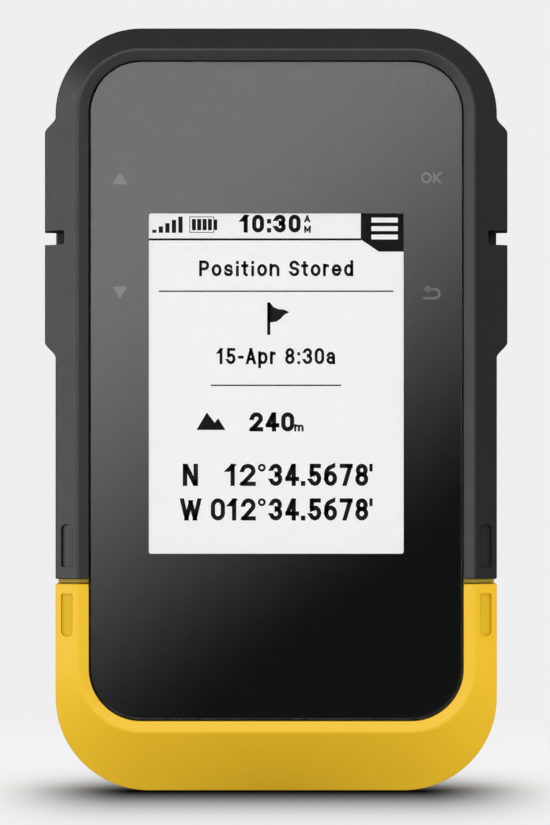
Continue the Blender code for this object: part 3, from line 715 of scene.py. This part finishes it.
def make_screen_bars():
    """The three light bars on the menu tab."""
    bars = Print(PANEL_FRONT - 0.10)
    for low in (73.5, 74.62, 75.75):
        bars.bar(12.67, 16.17, low, low + 0.64)
    return bars.finish("menu_bars")


def make_key_symbols():
    """The grey symbols printed behind the glass beside the keys: up, down, OK and back."""
    grey = Print(1.99)
    left, wide, tall = -20.78, 1.0, 0.82
    grey.plate([(left - wide, 81.65 - tall), (left + wide, 81.65 - tall), (left, 81.65 + tall)])
    grey.plate([(left - wide, 66.4 + tall), (left, 66.4 - tall), (left + wide, 66.4 + tall)])
    grey.stroke(oval(19.97, 81.7, 0.56, 0.6), 0.32)
    grey.stroke([(21.0, 81.1), (21.0, 82.3)], 0.32)
    grey.stroke([(21.8, 82.3), (21.2, 81.7), (21.8, 81.1)], 0.32)
    grey.stroke([(20.1, 66.87)] + arc(21.1, 66.27, 0.6, 0.6, 90, -90, 12) + [(19.75, 65.67)], 0.36)
    grey.plate([(19.5, 66.87), (20.35, 66.3), (20.35, 67.44)])
    return grey.finish("key_symbols")


# -------- rear housing, cover and latch


def housing_sections():
    """The housing's outline at each depth: straight walls, then a quarter ellipse into the back."""
    sections = [(case_outline(0.25), HOUSING_FRONT), (case_outline(), HOUSING_FRONT + 0.25)]
    for rise, turned_in in quarter(14):
        depth = ROUNDING_START + (HOUSING_BACK - ROUNDING_START) * rise
        sections.append((case_outline(ROUNDING_INSET * turned_in), depth))
    return sections


def make_housing():
    housing = loft("housing", housing_sections())
    lower = block("lower_room", (-40, 40), (3, SHELL_BACK + 0.2), (-5, BEZEL_END + 0.3))
    lower = cut(lower, slab("core", case_outline(WALL + 0.2), 2, 25))
    tools = [
        lower,
        slab("cavity", case_outline(3.88), 4, 11.8),
        block("bay", (-BAY_HALF, BAY_HALF), (BAY_FLOOR, 26), (BAY_LOW, BAY_HIGH)),
        slab("recess", rounded_box(21.25, 6.95, 88.35, 6.2), 22.3, 26),
        cylinder("keeper_seat", 5.2, (0, 22.4, LATCH_Z), 4.0),
        cylinder("latch_room", 4.4, (0, 19.6, LATCH_Z), 3.2),
        slab("flap_seat", rounded_box(13.0, USB_Z - 3.45, USB_Z + 3.45, 0.8), 22.1, 26),
        slab("plug_seat", rounded_box(6.2, USB_Z - 2.7, USB_Z + 2.7, 1.2), 18.9, 24),
        slab("socket_hole", rounded_box(4.8, USB_Z - 1.9, USB_Z + 1.9, 1.7), 10, 24),
    ]
    for x, z in ((-19.5, 17.5), (19.5, 17.5), (-15.0, 85.2), (15.0, 85.2)):
        tools.append(cylinder("screw_room", 2.1, (x, 22.8, z), 4.0))
        tools.append(cylinder("screw_hole", 1.2, (x, 14.5, z), 19, sides=32))
    reach = KEY_HALF_LENGTH + KEY_CLEARANCE
    depth = (KEY_LOW_DEPTH - KEY_CLEARANCE, KEY_HIGH_DEPTH + KEY_CLEARANCE)
    for sign in (-1, 1):
        for z in (UPPER_KEY, LOWER_KEY):
            x = sorted((sign * 24.5, sign * 32))
            tools.append(block("window", x, depth, (z - reach, z + reach), 0.5))
            x = sorted((sign * 24, sign * 27.3))
            tools.append(block("flange_room", x, (6.9, 13.8), (z - 6.8, z + 6.8)))
    return smooth(bevel(cut(housing, *tools), 0.12, 2, 50))


def rounded_stack(half, low, high, radius, base, top, rounding):
    """Sections of a rounded plinth: straight up from base, then a quarter circle into its top."""
    sections = [(rounded_box(half, low, high, radius), base)]
    for rise, turned_in in quarter(8):
        inset = rounding * turned_in
        corner = max(radius - inset, 0.4)
        outline = rounded_box(half - inset, low + inset, high - inset, corner)
        sections.append((outline, top - rounding + rounding * rise))
    return sections


def make_bulge():
    """The cover's swell over the cells, with its upper edge rounded."""
    sections = [
        (rounded_box(18.6, 24.3, 83.6, 5.0), 24.5),
        (rounded_box(18.5, 24.45, 83.5, 4.9), 26.0),
    ]
    for rise, turned_in in quarter(10):
        inset = 0.15 + 3.6 * turned_in
        outline = rounded_box(18.6 - inset, 24.4 + inset, 83.5 - inset, 5.0 - inset * 0.6)
        sections.append((outline, 26.3 + (BULGE_TOP - 26.3) * rise))
    return loft("bulge", sections)


def make_rail():
    """The T-shaped mounting rail, with the pocket that a holder's catch drops into."""
    neck = block("rail_neck", (-3.2, 3.2), (29.0, 32.0), (RAIL_LOW, RAIL_HIGH))
    head = slab("rail_head", rounded_box(5.2, RAIL_LOW, RAIL_HIGH, 1.2, steps=8), 31.4, DEPTH)
    rail = bevel(join(neck, head), 0.18, 3, 50)
    return cut(rail, block("catch", (-1.6, 1.6), (32.2, 34), (RAIL_HIGH - 8, RAIL_HIGH - 5.5), 0.2))


def make_cover():
    cover = loft("cover", rounded_stack(COVER_HALF, COVER_LOW, COVER_HIGH, 6.0, 22.5, COVER_FACE, 1.3))
    rail = make_rail()
    cover = join(cover, make_bulge(), rail)
    cover = cut(
        cover,
        block("room", (-15.3, 15.3), (20, 28.3), (BAY_LOW, BAY_HIGH), 0.8),
        cylinder("dish", DISH_RADIUS, (0, 26.4, LATCH_Z), 4.0, sides=96),
        cylinder("scoop", 4.2, (0, 28.3, 10.2), 6.0, top_radius=5.4),
        cylinder("bore", 2.6, (0, 24, LATCH_Z), 6.0),
        cylinder("seal_seat", 3.6, (0, 24.2, LATCH_Z), 1.0),
        skin_loop("gasket_groove", (18.0, 23.1, 83.0, 3.0), (16.6, 24.6, 81.6, 2.0), 20, 23.3),
    )
    return smooth(bevel(cover, 0.1, 2, 50))


def skin_loop(name, outer, inner, front, back):
    """A closed band between two rounded boxes."""
    sections = []
    for wide, narrow in zip(rounded_box(*outer), rounded_box(*inner)):
        corners = ((wide, front), (wide, back), (narrow, back), (narrow, front))
        sections.append([place(point[0], depth, point[1]) for point, depth in corners])
    return skin(name, sections, closed=True)


def make_knob():
    corners = (
        (0, 25.8, 0),
        (5.9, 25.8, 0.4),
        (6.3, 25.55, 0.3),
        (7.6, 25.55, 0.5),
        (7.6, 24.6, 0.2),
        (2.5, 24.6, 0),
        (2.5, 18.7, 0.2),
        (0, 18.7, 0),
    )
    knob = turned("knob", corners, (0, LATCH_Z))
    lug = block("lug", (-4.2, 4.2), (25.5, 28.0), (LATCH_Z - 1.8, LATCH_Z + 1.8), 0.7, 4)
    bar_piece = block("lug_bar", (-4.0, 4.0), (18.7, 20.1), (LATCH_Z - 0.9, LATCH_Z + 0.9), 0.2)
    knob = join(knob, lug, bar_piece)
    tools = []
    for sign in (-1, 1):
        centre = (sign * 3.4, RING_DEPTH, LATCH_Z)
        tools.append(cylinder("bore", RING_WIRE + 0.1, centre, 3.4, "X", sides=32))
    for number in range(FLUTES):
        angle = 2 * math.pi * number / FLUTES
        x, z = FLUTE_RADIUS * math.cos(angle), LATCH_Z + FLUTE_RADIUS * math.sin(angle)
        tools.append(cylinder("flute", 0.42, (x, 25.3, z), 1.8, sides=16))
    return smooth(cut(knob, *tools))


def make_ring():
    inner, corner = 2.4, 1.0
    half = [(inner, LATCH_Z), (RING_RADIUS - 1.4, LATCH_Z)]
    half += arc(RING_RADIUS - corner, LATCH_Z - corner, corner, corner, 90, 4, 8)
    bow = arc(0, LATCH_Z, RING_RADIUS, RING_RADIUS, -10, -170, 48)
    path = half + bow + [(-x, z) for x, z in reversed(half)]
    points = [(x, RING_DEPTH, z) for x, z in path]
    return tube("carry_ring", points, RING_WIRE)


# -------- keys and flap


def make_key(name, sign, z):
    """A rubber key with a softly crowned cap and a raised bar to feel for."""
    depth = (KEY_LOW_DEPTH, KEY_HIGH_DEPTH)
    length = (z - KEY_HALF_LENGTH, z + KEY_HALF_LENGTH)
    cap = block(f"{name}_cap", sorted((sign * 26.9, sign * (KEY_TOP - 0.25))), depth, length, 1.0, 5)
    middle = sum(depth) / 2
    ridge_x = sorted((sign * 29.6, sign * KEY_TOP))
    ridge = block("ridge", ridge_x, (middle - 0.5, middle + 0.5), (z - 2.6, z + 2.6), 0.4, 4)
    flange_x = sorted((sign * 26.55, sign * 27.05))
    reach = KEY_HALF_LENGTH + 0.7
    flange = block("flange", flange_x, (7.1, 13.4), (z - reach, z + reach))
    plunger = cylinder("plunger", 1.2, (sign * 25.8, 10.2, z), 1.9, "X", sides=24)
    return smooth(join(cap, ridge, flange, plunger))


def flap_plate(name, middle, half, radius, rounding):
    """A flat piece in the flap's seat."""
    box = rounded_box(half, USB_Z - FLAP_HALF_HEIGHT, USB_Z + FLAP_HALF_HEIGHT, radius)
    return bevel(slab(name, [(middle + x, z) for x, z in box], 22.3, HOUSING_BACK), rounding, 4)


def make_flap():
    lid = flap_plate("flap", (FLAP_LEFT + FLAP_RIGHT) / 2, (FLAP_RIGHT - FLAP_LEFT) / 2, 1.2, 0.35)
    plug = bevel(slab("plug", rounded_box(5.5, USB_Z - 2.3, USB_Z + 2.3, 1.4), 20.4, 22.8), 0.2, 3)
    tongue = block("finger_pull", (6.3, 7.5), (23.2, 23.85), (USB_Z - 2.2, USB_Z + 2.2), 0.3, 3)
    return smooth(join(lid, plug, tongue))


def make_anchor():
    return smooth(flap_plate("flap_anchor", -11.25, 1.45, 0.6, 0.3))


# -------- materials


class Look:
    """A material in the making."""

    def __init__(self, name):
        self.material = bpy.data.materials.new(name)
        self.material.use_nodes = True
        self.tree = self.material.node_tree
        self.shader = self.tree.nodes["Principled BSDF"]

    def feed(self, node, inputs):
        """Links each named input to another node's output, or sets it to a constant."""
        for key, value in inputs.items():
            if isinstance(value, bpy.types.NodeSocket):
                self.tree.links.new(value, node.inputs[key])
            else:
                node.inputs[key].default_value = value

    def add(self, kind, output, inputs, **settings):
        """Adds a node with its settings and inputs, and gives one of its outputs."""
        node = self.tree.nodes.new(f"ShaderNode{kind}")
        for key, value in settings.items():
            setattr(node, key, value)
        self.feed(node, inputs)
        return node.outputs[output]

    def finish(self, inputs):
        """Feeds the Principled shader and gives the material."""
        self.feed(self.shader, inputs)
        return self.material

    def surface(self, shader):
        self.feed(self.tree.nodes["Material Output"], {"Surface": shader})
        return self.material

    def point(self):
        return self.add("TexCoord", "Object", {})

    def stretched(self, scale=(1, 1, 1)):
        """Object coordinates, stretched per axis."""
        return self.add("Mapping", "Vector", {"Vector": self.point(), "Scale": scale})

    def axis(self, vector, name):
        return self.add("SeparateXYZ", name, {"Vector": vector})

    def length(self, vector):
        return self.add("VectorMath", "Value", {0: vector}, operation="LENGTH")

    def maths(self, operation, *values):
        return self.add("Math", "Value", dict(enumerate(values)), operation=operation)

    def ranged(self, value, start, end, low=0.0, high=1.0, eased=False):
        """A value mapped from one range to another."""
        inputs = {"Value": value, "From Min": start, "From Max": end, "To Min": low, "To Max": high}
        kind = "SMOOTHSTEP" if eased else "LINEAR"
        return self.add("MapRange", "Result", inputs, interpolation_type=kind)

    def noise(self, vector, per_mm, detail):
        return self.add("TexNoise", "Fac", {"Vector": vector, "Scale": per_mm / MM, "Detail": detail})

    def spread(self, value, low, high):
        """A noise value mapped to a range."""
        return self.ranged(value, NOISE_LOW, NOISE_HIGH, low, high)

    def blend(self, value, first, second):
        """A colour between two others."""
        inputs = {"Factor": value, "A": (*first, 1), "B": (*second, 1)}
        return self.add("Mix", "Result", inputs, data_type="RGBA")

    def bump(self, height, strength, distance):
        inputs = {"Height": height, "Strength": strength, "Distance": distance * MM}
        return self.add("Bump", "Normal", inputs)


def moulded(name, colour, roughness, specular, grain=6.0, relief=0.05, tint=0.06):
    """Moulded plastic or rubber: fine spark-eroded grain, faint cloudy colour and gloss."""
    look = Look(name)
    vector = look.stretched()
    dark = [channel * (1 - tint) for channel in colour]
    light = [min(1.0, channel * (1 + tint)) for channel in colour]
    return look.finish({
        "Base Color": look.blend(look.noise(vector, 0.12, 4), dark, light),
        "Roughness": look.spread(look.noise(vector, 0.5, 3), roughness * 0.92, roughness * 1.08),
        "Normal": look.bump(look.noise(vector, grain, 2), relief, 0.05),
        "Specular IOR Level": specular,
    })


def metal(name, colour, roughness, stretch=(1, 1, 12), relief=0.05):
    """Drawn or brushed metal: streaks along one axis."""
    look = Look(name)
    streaks = look.noise(look.stretched(stretch), 1.0, 4)
    return look.finish({
        "Base Color": look.blend(streaks, [channel * 0.85 for channel in colour], colour),
        "Roughness": look.spread(streaks, roughness * 0.75, roughness * 1.25),
        "Normal": look.bump(streaks, relief, 0.03),
        "Metallic": 1.0,
    })


def glass(name):
    clear = {"Base Color": (1, 1, 1, 1), "Roughness": 0.0, "IOR": 1.5, "Transmission Weight": 1.0}
    return Look(name).finish(clear)


def lit_panel(name, colour, brightness):
    """The screen's white: an even glow, with the faint texture of its reflector."""
    look = Look(name)
    cloth = look.noise(look.stretched(), 9.0, 1)
    return look.finish({
        "Emission Color": look.blend(cloth, [channel * 0.985 for channel in colour], colour),
        "Emission Strength": brightness,
        "Base Color": (0.4, 0.4, 0.4, 1),
        "Roughness": 0.5,
        "Specular IOR Level": 0.1,
    })


def board(name):
    """Circuit board: solder mask with lighter tracks under it."""
    look = Look(name)
    inputs = {"Vector": look.stretched(), "Scale": 0.6 / MM}
    cells = look.add("TexVoronoi", "Distance", inputs, feature="DISTANCE_TO_EDGE")
    colour = look.blend(look.ranged(cells, 0.03, 0.09), (0.05, 0.24, 0.09), (0.012, 0.10, 0.035))
    return look.finish({"Base Color": colour, "Roughness": 0.3})


def cell_jacket(name, bright, low, high, band):
    """An AA cell: steel ends, a dark sleeve and a brighter band at one end of it."""
    look = Look(name)
    vector = look.stretched()
    along = look.ranged(look.axis(vector, "Z"), low * MM, high * MM)
    colour = look.add("ValToRGB", "Color", {"Fac": along})
    ramp = colour.node.color_ramp
    ramp.interpolation = "CONSTANT"
    steel, sleeve = (0.6, 0.6, 0.6, 1), (0.02, 0.025, 0.03, 1)
    ramp.elements[0].position, ramp.elements[0].color = 0.0, steel
    ramp.elements[1].position, ramp.elements[1].color = 0.97, steel
    first, second = (sleeve, bright) if band > 0.5 else (bright, sleeve)
    ramp.elements.new(0.02).color = first
    ramp.elements.new(band).color = second
    scuffs = look.noise(vector, 0.8, 4)
    roughness = look.spread(scuffs, 0.22, 0.34)
    return look.finish({"Base Color": colour, "Roughness": roughness, "Metallic": 0.6})


DARK = moulded("bezel_plastic", (0.0240, 0.0257, 0.0275), 0.42, 0.42)
YELLOW = moulded("shell_plastic", (0.96, 0.58, 0.010), 0.42, 0.30, tint=0.012)
# Painted shade: the lip and the web behind it take the shell's yellow made darker and olive, for the
# shadow they sit in within the split.
LIP_PAINTED_SHADE = moulded("lip_plastic_painted_shade", (0.50, 0.37, 0.030), 0.5, 0.25, tint=0.012)
# Painted shade: the slot floors are the shell's yellow made darker for the shade in the recess. Their
# finish is also rougher.
SLOT_FLOOR_PAINTED_SHADE = moulded("slot_floor", (0.80, 0.51, 0.012), 0.6, 0.2, tint=0.012)
BLACK = moulded("housing_plastic", (0.012, 0.0125, 0.013), 0.5, 0.4, grain=4.0, relief=0.12)
RUBBER = moulded("key_rubber", (0.013, 0.013, 0.013), 0.62, 0.35, grain=5.0, relief=0.1)
INNER = moulded("inner_plastic", (0.008, 0.008, 0.008), 0.55, 0.3)
WHITE = moulded("holder_plastic", (0.6, 0.6, 0.58), 0.5, 0.4)
CERAMIC = moulded("antenna_ceramic", (0.50, 0.43, 0.33), 0.55, 0.4, grain=2.0)
ACRYLIC = moulded("guide_acrylic", (0.75, 0.78, 0.80), 0.2, 0.5, relief=0.02)
MASK = moulded("mask_print", (0.0012, 0.0012, 0.0013), 0.6, 0.1, relief=0.02)
SYMBOL = moulded("symbol_print", (0.16, 0.16, 0.16), 0.6, 0.2)
INK = moulded("screen_ink", (0.018, 0.018, 0.019), 0.6, 0.1)
STEEL = metal("shield_steel", (0.62, 0.62, 0.63), 0.34)
RING_STEEL = metal("ring_steel", (0.60, 0.60, 0.60), 0.22, (1, 1, 1), 0.02)
NICKEL = metal("contact_nickel", (0.66, 0.63, 0.57), 0.26)
BRASS = metal("turned_brass", (0.78, 0.56, 0.22), 0.3, (1, 6, 1))
BOARD = board("circuit_board")
GLASS = glass("polished_glass")
PANEL = lit_panel("screen_white", (0.985, 0.985, 0.985), 0.745)
BARS = lit_panel("menu_white", (0.985, 0.985, 0.985), 0.745)


# -------- putting the pieces in


def dress(piece, finish, body, slot, *replaced):
    piece.data.materials.clear()
    piece.data.materials.append(finish)
    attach(piece, body)
    if replaced:
        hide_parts(*replaced)
    return piece


def paint(finish, *nodes):
    for node in nodes:
        for material_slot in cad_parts[node].material_slots:
            material_slot.material = finish


dress(make_bezel(), DARK, "case", "dark_plastic", "front_bezel")
dress(make_lower_shell(), YELLOW, "case", "yellow_plastic", "lower_shell")
# The lip's darker yellow is painted shade.
dress(make_lip(), LIP_PAINTED_SHADE, "case", "yellow_plastic")
dress(make_slot_floors(), SLOT_FLOOR_PAINTED_SHADE, "case", "yellow_plastic")
dress(make_lens(), GLASS, "case", "lens_glass", "display_lens")
dress(make_screen_ink(), INK, "case", "screen_white")
dress(make_screen_bars(), BARS, "case", "screen_white")
dress(make_key_symbols(), SYMBOL, "case", "mask_print")
dress(make_housing(), BLACK, "case", "black_plastic", "rear_housing")
dress(make_cover(), BLACK, "battery_cover", "black_plastic", "battery_cover")
dress(make_knob(), BLACK, "latch", "black_plastic", "latch_knob")
dress(make_ring(), RING_STEEL, "ring", "steel", "latch_ring")
dress(make_flap(), RUBBER, "usb_flap", "black_rubber", "usb_flap")
dress(make_anchor(), RUBBER, "case", "black_rubber", "usb_flap_anchor")
for sign, keys in ((-1, ("up_key", "down_key")), (1, ("ok_key", "back_key"))):
    for key, height in zip(keys, (UPPER_KEY, LOWER_KEY)):
        dress(make_key(f"{key}_rubber", sign, height), RUBBER, key, "black_rubber", key)

paint(MASK, "lens_mask")
paint(PANEL, "lcd_panel")
paint(ACRYLIC, "lcd_light_guide")
paint(WHITE, "lcd_holder")
paint(INNER, "front_frame", "usb_tongue")
paint(RUBBER, "lens_gasket", "housing_seal", "cover_gasket", "latch_seal")
paint(BOARD, "main_board", "key_board_left", "key_board_right")
paint(CERAMIC, "gps_antenna")
paint(STEEL, "radio_shield", "processor_shield", "latch_clip")
paint(STEEL, *(f"switch_{side}_{level}" for side in ("left", "right") for level in ("upper", "lower")))
paint(STEEL, *(f"case_screw_{number}" for number in range(1, 5)))
paint(NICKEL, "usb_socket", "contact_plate_left", "contact_plate_right", "contact_bridge")
paint(NICKEL, "battery_spring_left", "battery_spring_right")
paint(BRASS, "beeper", "latch_keeper")
for node, band in (("battery_left", 0.72), ("battery_right", 0.28)):
    low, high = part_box(node)
    amber = (0.75, 0.36, 0.05, 1)
    paint(cell_jacket(f"{node}_jacket", amber, low[2] / MM, high[2] / MM, band), node)


# -------- studio


PALE = 0.863
FLOOR_SIZE = 7.0
MIDDLE = (0, 0, HEIGHT / 2 * MM)

# Contact shadow on the floor, in metres: its middle, half widths across, and reach to the front
SHADOW_Y = -0.0095
SHADOW_INNER, SHADOW_OUTER = 0.019, 0.040
SHADOW_REACH = 0.055


def square(name, size, location, tilt=0.0):
    bm = bmesh.new()
    bmesh.ops.create_grid(bm, x_segments=1, y_segments=1, size=size / 2)
    obj = solid(name, bm)
    obj.location = location
    obj.rotation_euler = (tilt, 0, 0)
    return obj


def hide_from(obj, *rays):
    for ray in rays:
        setattr(obj, f"visible_{ray}", False)


def area_light(name, size, location, radiance):
    """A soft box aimed at the middle of the case, given by its radiance. It shows in reflections only."""
    light = bpy.data.lights.new(name, "AREA")
    light.shape = "RECTANGLE"
    light.size, light.size_y = size
    light.energy = radiance * math.pi * size[0] * size[1]
    obj = link(name, light)
    obj.location = location
    obj.rotation_euler = (Vector(MIDDLE) - Vector(location)).to_track_quat("-Z", "Y").to_euler()
    hide_from(obj, "camera", "diffuse")


def make_world():
    world = bpy.data.worlds.new("studio")
    bpy.context.scene.world = world
    world.use_nodes = True
    background = world.node_tree.nodes["Background"]
    background.inputs["Color"].default_value = (1, 1, 1, 1)
    background.inputs["Strength"].default_value = 1.03
    for ray in ("camera", "glossy", "transmission"):
        setattr(world.cycles_visibility, ray, False)


def make_backdrop():
    """A pale ball round everything, seen by the camera only."""
    bm = bmesh.new()
    bmesh.ops.create_icosphere(bm, subdivisions=4, radius=3.6)
    ball = solid("backdrop", bm)
    glow = {"Emission Color": (PALE, PALE, PALE, 1), "Emission Strength": 1}
    dull = {"Base Color": (0, 0, 0, 1), "Specular IOR Level": 0}
    ball.data.materials.append(Look("backdrop").finish(dull | glow))
    hide_from(ball, "diffuse", "glossy", "transmission", "shadow")


def contact_shadow(look):
    """How much light the floor keeps: none under the front of the foot, all of it some way off.

    The shadow reaches further to the front than to the back.
    """
    point = look.point()
    sideways = look.maths("ABSOLUTE", look.axis(point, "X"))
    across = look.ranged(sideways, SHADOW_INNER, SHADOW_OUTER, 1, 0, eased=True)
    back = look.maths("SUBTRACT", look.axis(point, "Y"), SHADOW_Y)
    away = look.maths("MAXIMUM", look.maths("MULTIPLY", back, -1), look.maths("MULTIPLY", back, 1.5))
    curve = look.maths("POWER", look.maths("DIVIDE", away, SHADOW_REACH), 1.7)
    along = look.maths("EXPONENT", look.maths("MULTIPLY", curve, -1))
    return look.maths("SUBTRACT", 1, look.maths("MULTIPLY", across, along))


def make_floor():
    """A pale floor with a soft contact shadow, which melts into the backdrop away from the case."""
    floor = square("floor", FLOOR_SIZE, (0, 0, -0.0001))
    look = Look("floor")
    kept = contact_shadow(look)
    shade = look.add("CombineColor", "Color", {0: kept, 1: kept, 2: kept})
    look.finish({"Base Color": shade, "Roughness": 1, "Specular IOR Level": 0})
    glow = look.add("Emission", "Emission", {"Strength": look.maths("MULTIPLY", kept, PALE)})
    fade = look.ranged(look.length(look.point()), 0.08, 0.30, 0.75, 1, eased=True)
    mix = look.add("MixShader", "Shader", {0: fade, 1: look.shader.outputs["BSDF"], 2: glow})
    floor.data.materials.append(look.surface(mix))
    hide_from(floor, "diffuse", "glossy", "transmission")


def make_bounce_card():
    """The light that the floor sends up: seen only in diffuse bounces, weaker close to the foot."""
    card = square("bounce_card", FLOOR_SIZE, (0, 0, -0.0002))
    look = Look("bounce_card")
    look.material.cycles.emission_sampling = "NONE"
    reach = 0.045
    inputs = {"Location": (0, -SHADOW_Y / reach, 0), "Scale": (1 / reach, 1 / reach, 1)}
    shape = look.add("Mapping", "Vector", {"Vector": look.point()} | inputs)
    rise = look.ranged(look.length(shape), 0, 1, 0.42, PALE)
    card.data.materials.append(look.surface(look.add("Emission", "Emission", {"Strength": rise})))
    hide_from(card, "camera", "glossy", "transmission", "shadow")


def outside_window(look, point, spread_out):
    """One outside the card's window and nought inside it."""
    middle = ((SCREEN_LOW + SCREEN_HIGH) / 2 - AIM_Z) * MM * spread_out
    half_height = (SCREEN_HIGH - SCREEN_LOW) / 2 * MM * spread_out
    sideways = look.maths("ABSOLUTE", look.axis(point, "X"))
    upward = look.maths("ABSOLUTE", look.maths("SUBTRACT", look.axis(point, "Y"), middle))
    near_x = look.maths("DIVIDE", sideways, SCREEN_HALF * MM * spread_out)
    near_z = look.maths("DIVIDE", upward, half_height)
    return look.maths("GREATER_THAN", look.maths("MAXIMUM", near_x, near_z), 1)


def make_glass_card():
    """A graded card in front, seen only in reflections: bright upper left, dark lower right.

    A window in it keeps reflections off the screen. It is drawn larger than it shows on the glass.
    """
    distance = 0.9
    spread_out = 1 + (distance - DEPTH / 2 * MM) / (CAMERA_DISTANCE * MM)
    centre = (AIM_X * MM * (1 - spread_out), -distance, AIM_Z * MM)
    card = square("graded_card", 1.6, centre, math.pi / 2)
    look = Look("graded_card")
    point = look.point()
    across = look.add("VectorMath", "Value", {0: point, 1: (0.615, -0.788, 0)}, operation="DOT_PRODUCT")
    fade = look.ranged(across, -0.034 * spread_out, 0.0272 * spread_out, 2.1, 0.03, eased=True)
    rim = look.ranged(look.length(point), 0.15, 0.45, 0, 0.45, eased=True)
    outside = outside_window(look, point, spread_out)
    strength = look.maths("MULTIPLY", look.maths("ADD", fade, rim), outside)
    card.data.materials.append(look.surface(look.add("Emission", "Emission", {"Strength": strength})))
    hide_from(card, "camera", "diffuse", "shadow")


def make_camera():
    camera = bpy.data.cameras.new("camera")
    camera.sensor_width = 36
    camera.lens = 36 * CAMERA_DISTANCE / FRAME_HEIGHT
    camera.clip_start = 0.01
    camera.clip_end = 20
    obj = link("camera", camera)
    obj.location = (AIM_X * MM, -(CAMERA_DISTANCE + DEPTH / 2) * MM, AIM_Z * MM)
    obj.rotation_euler = (math.pi / 2, 0, 0)
    bpy.context.scene.camera = obj


make_world()
make_backdrop()
make_floor()
make_bounce_card()
make_glass_card()
area_light("left_box", (0.5, 0.7), (-0.62, -0.10, 0.08), 2.3)
area_light("back_box", (0.6, 0.5), (0.35, 0.75, 0.55), 2.0)
make_camera()
bpy.context.scene.view_settings.view_transform = "Standard"
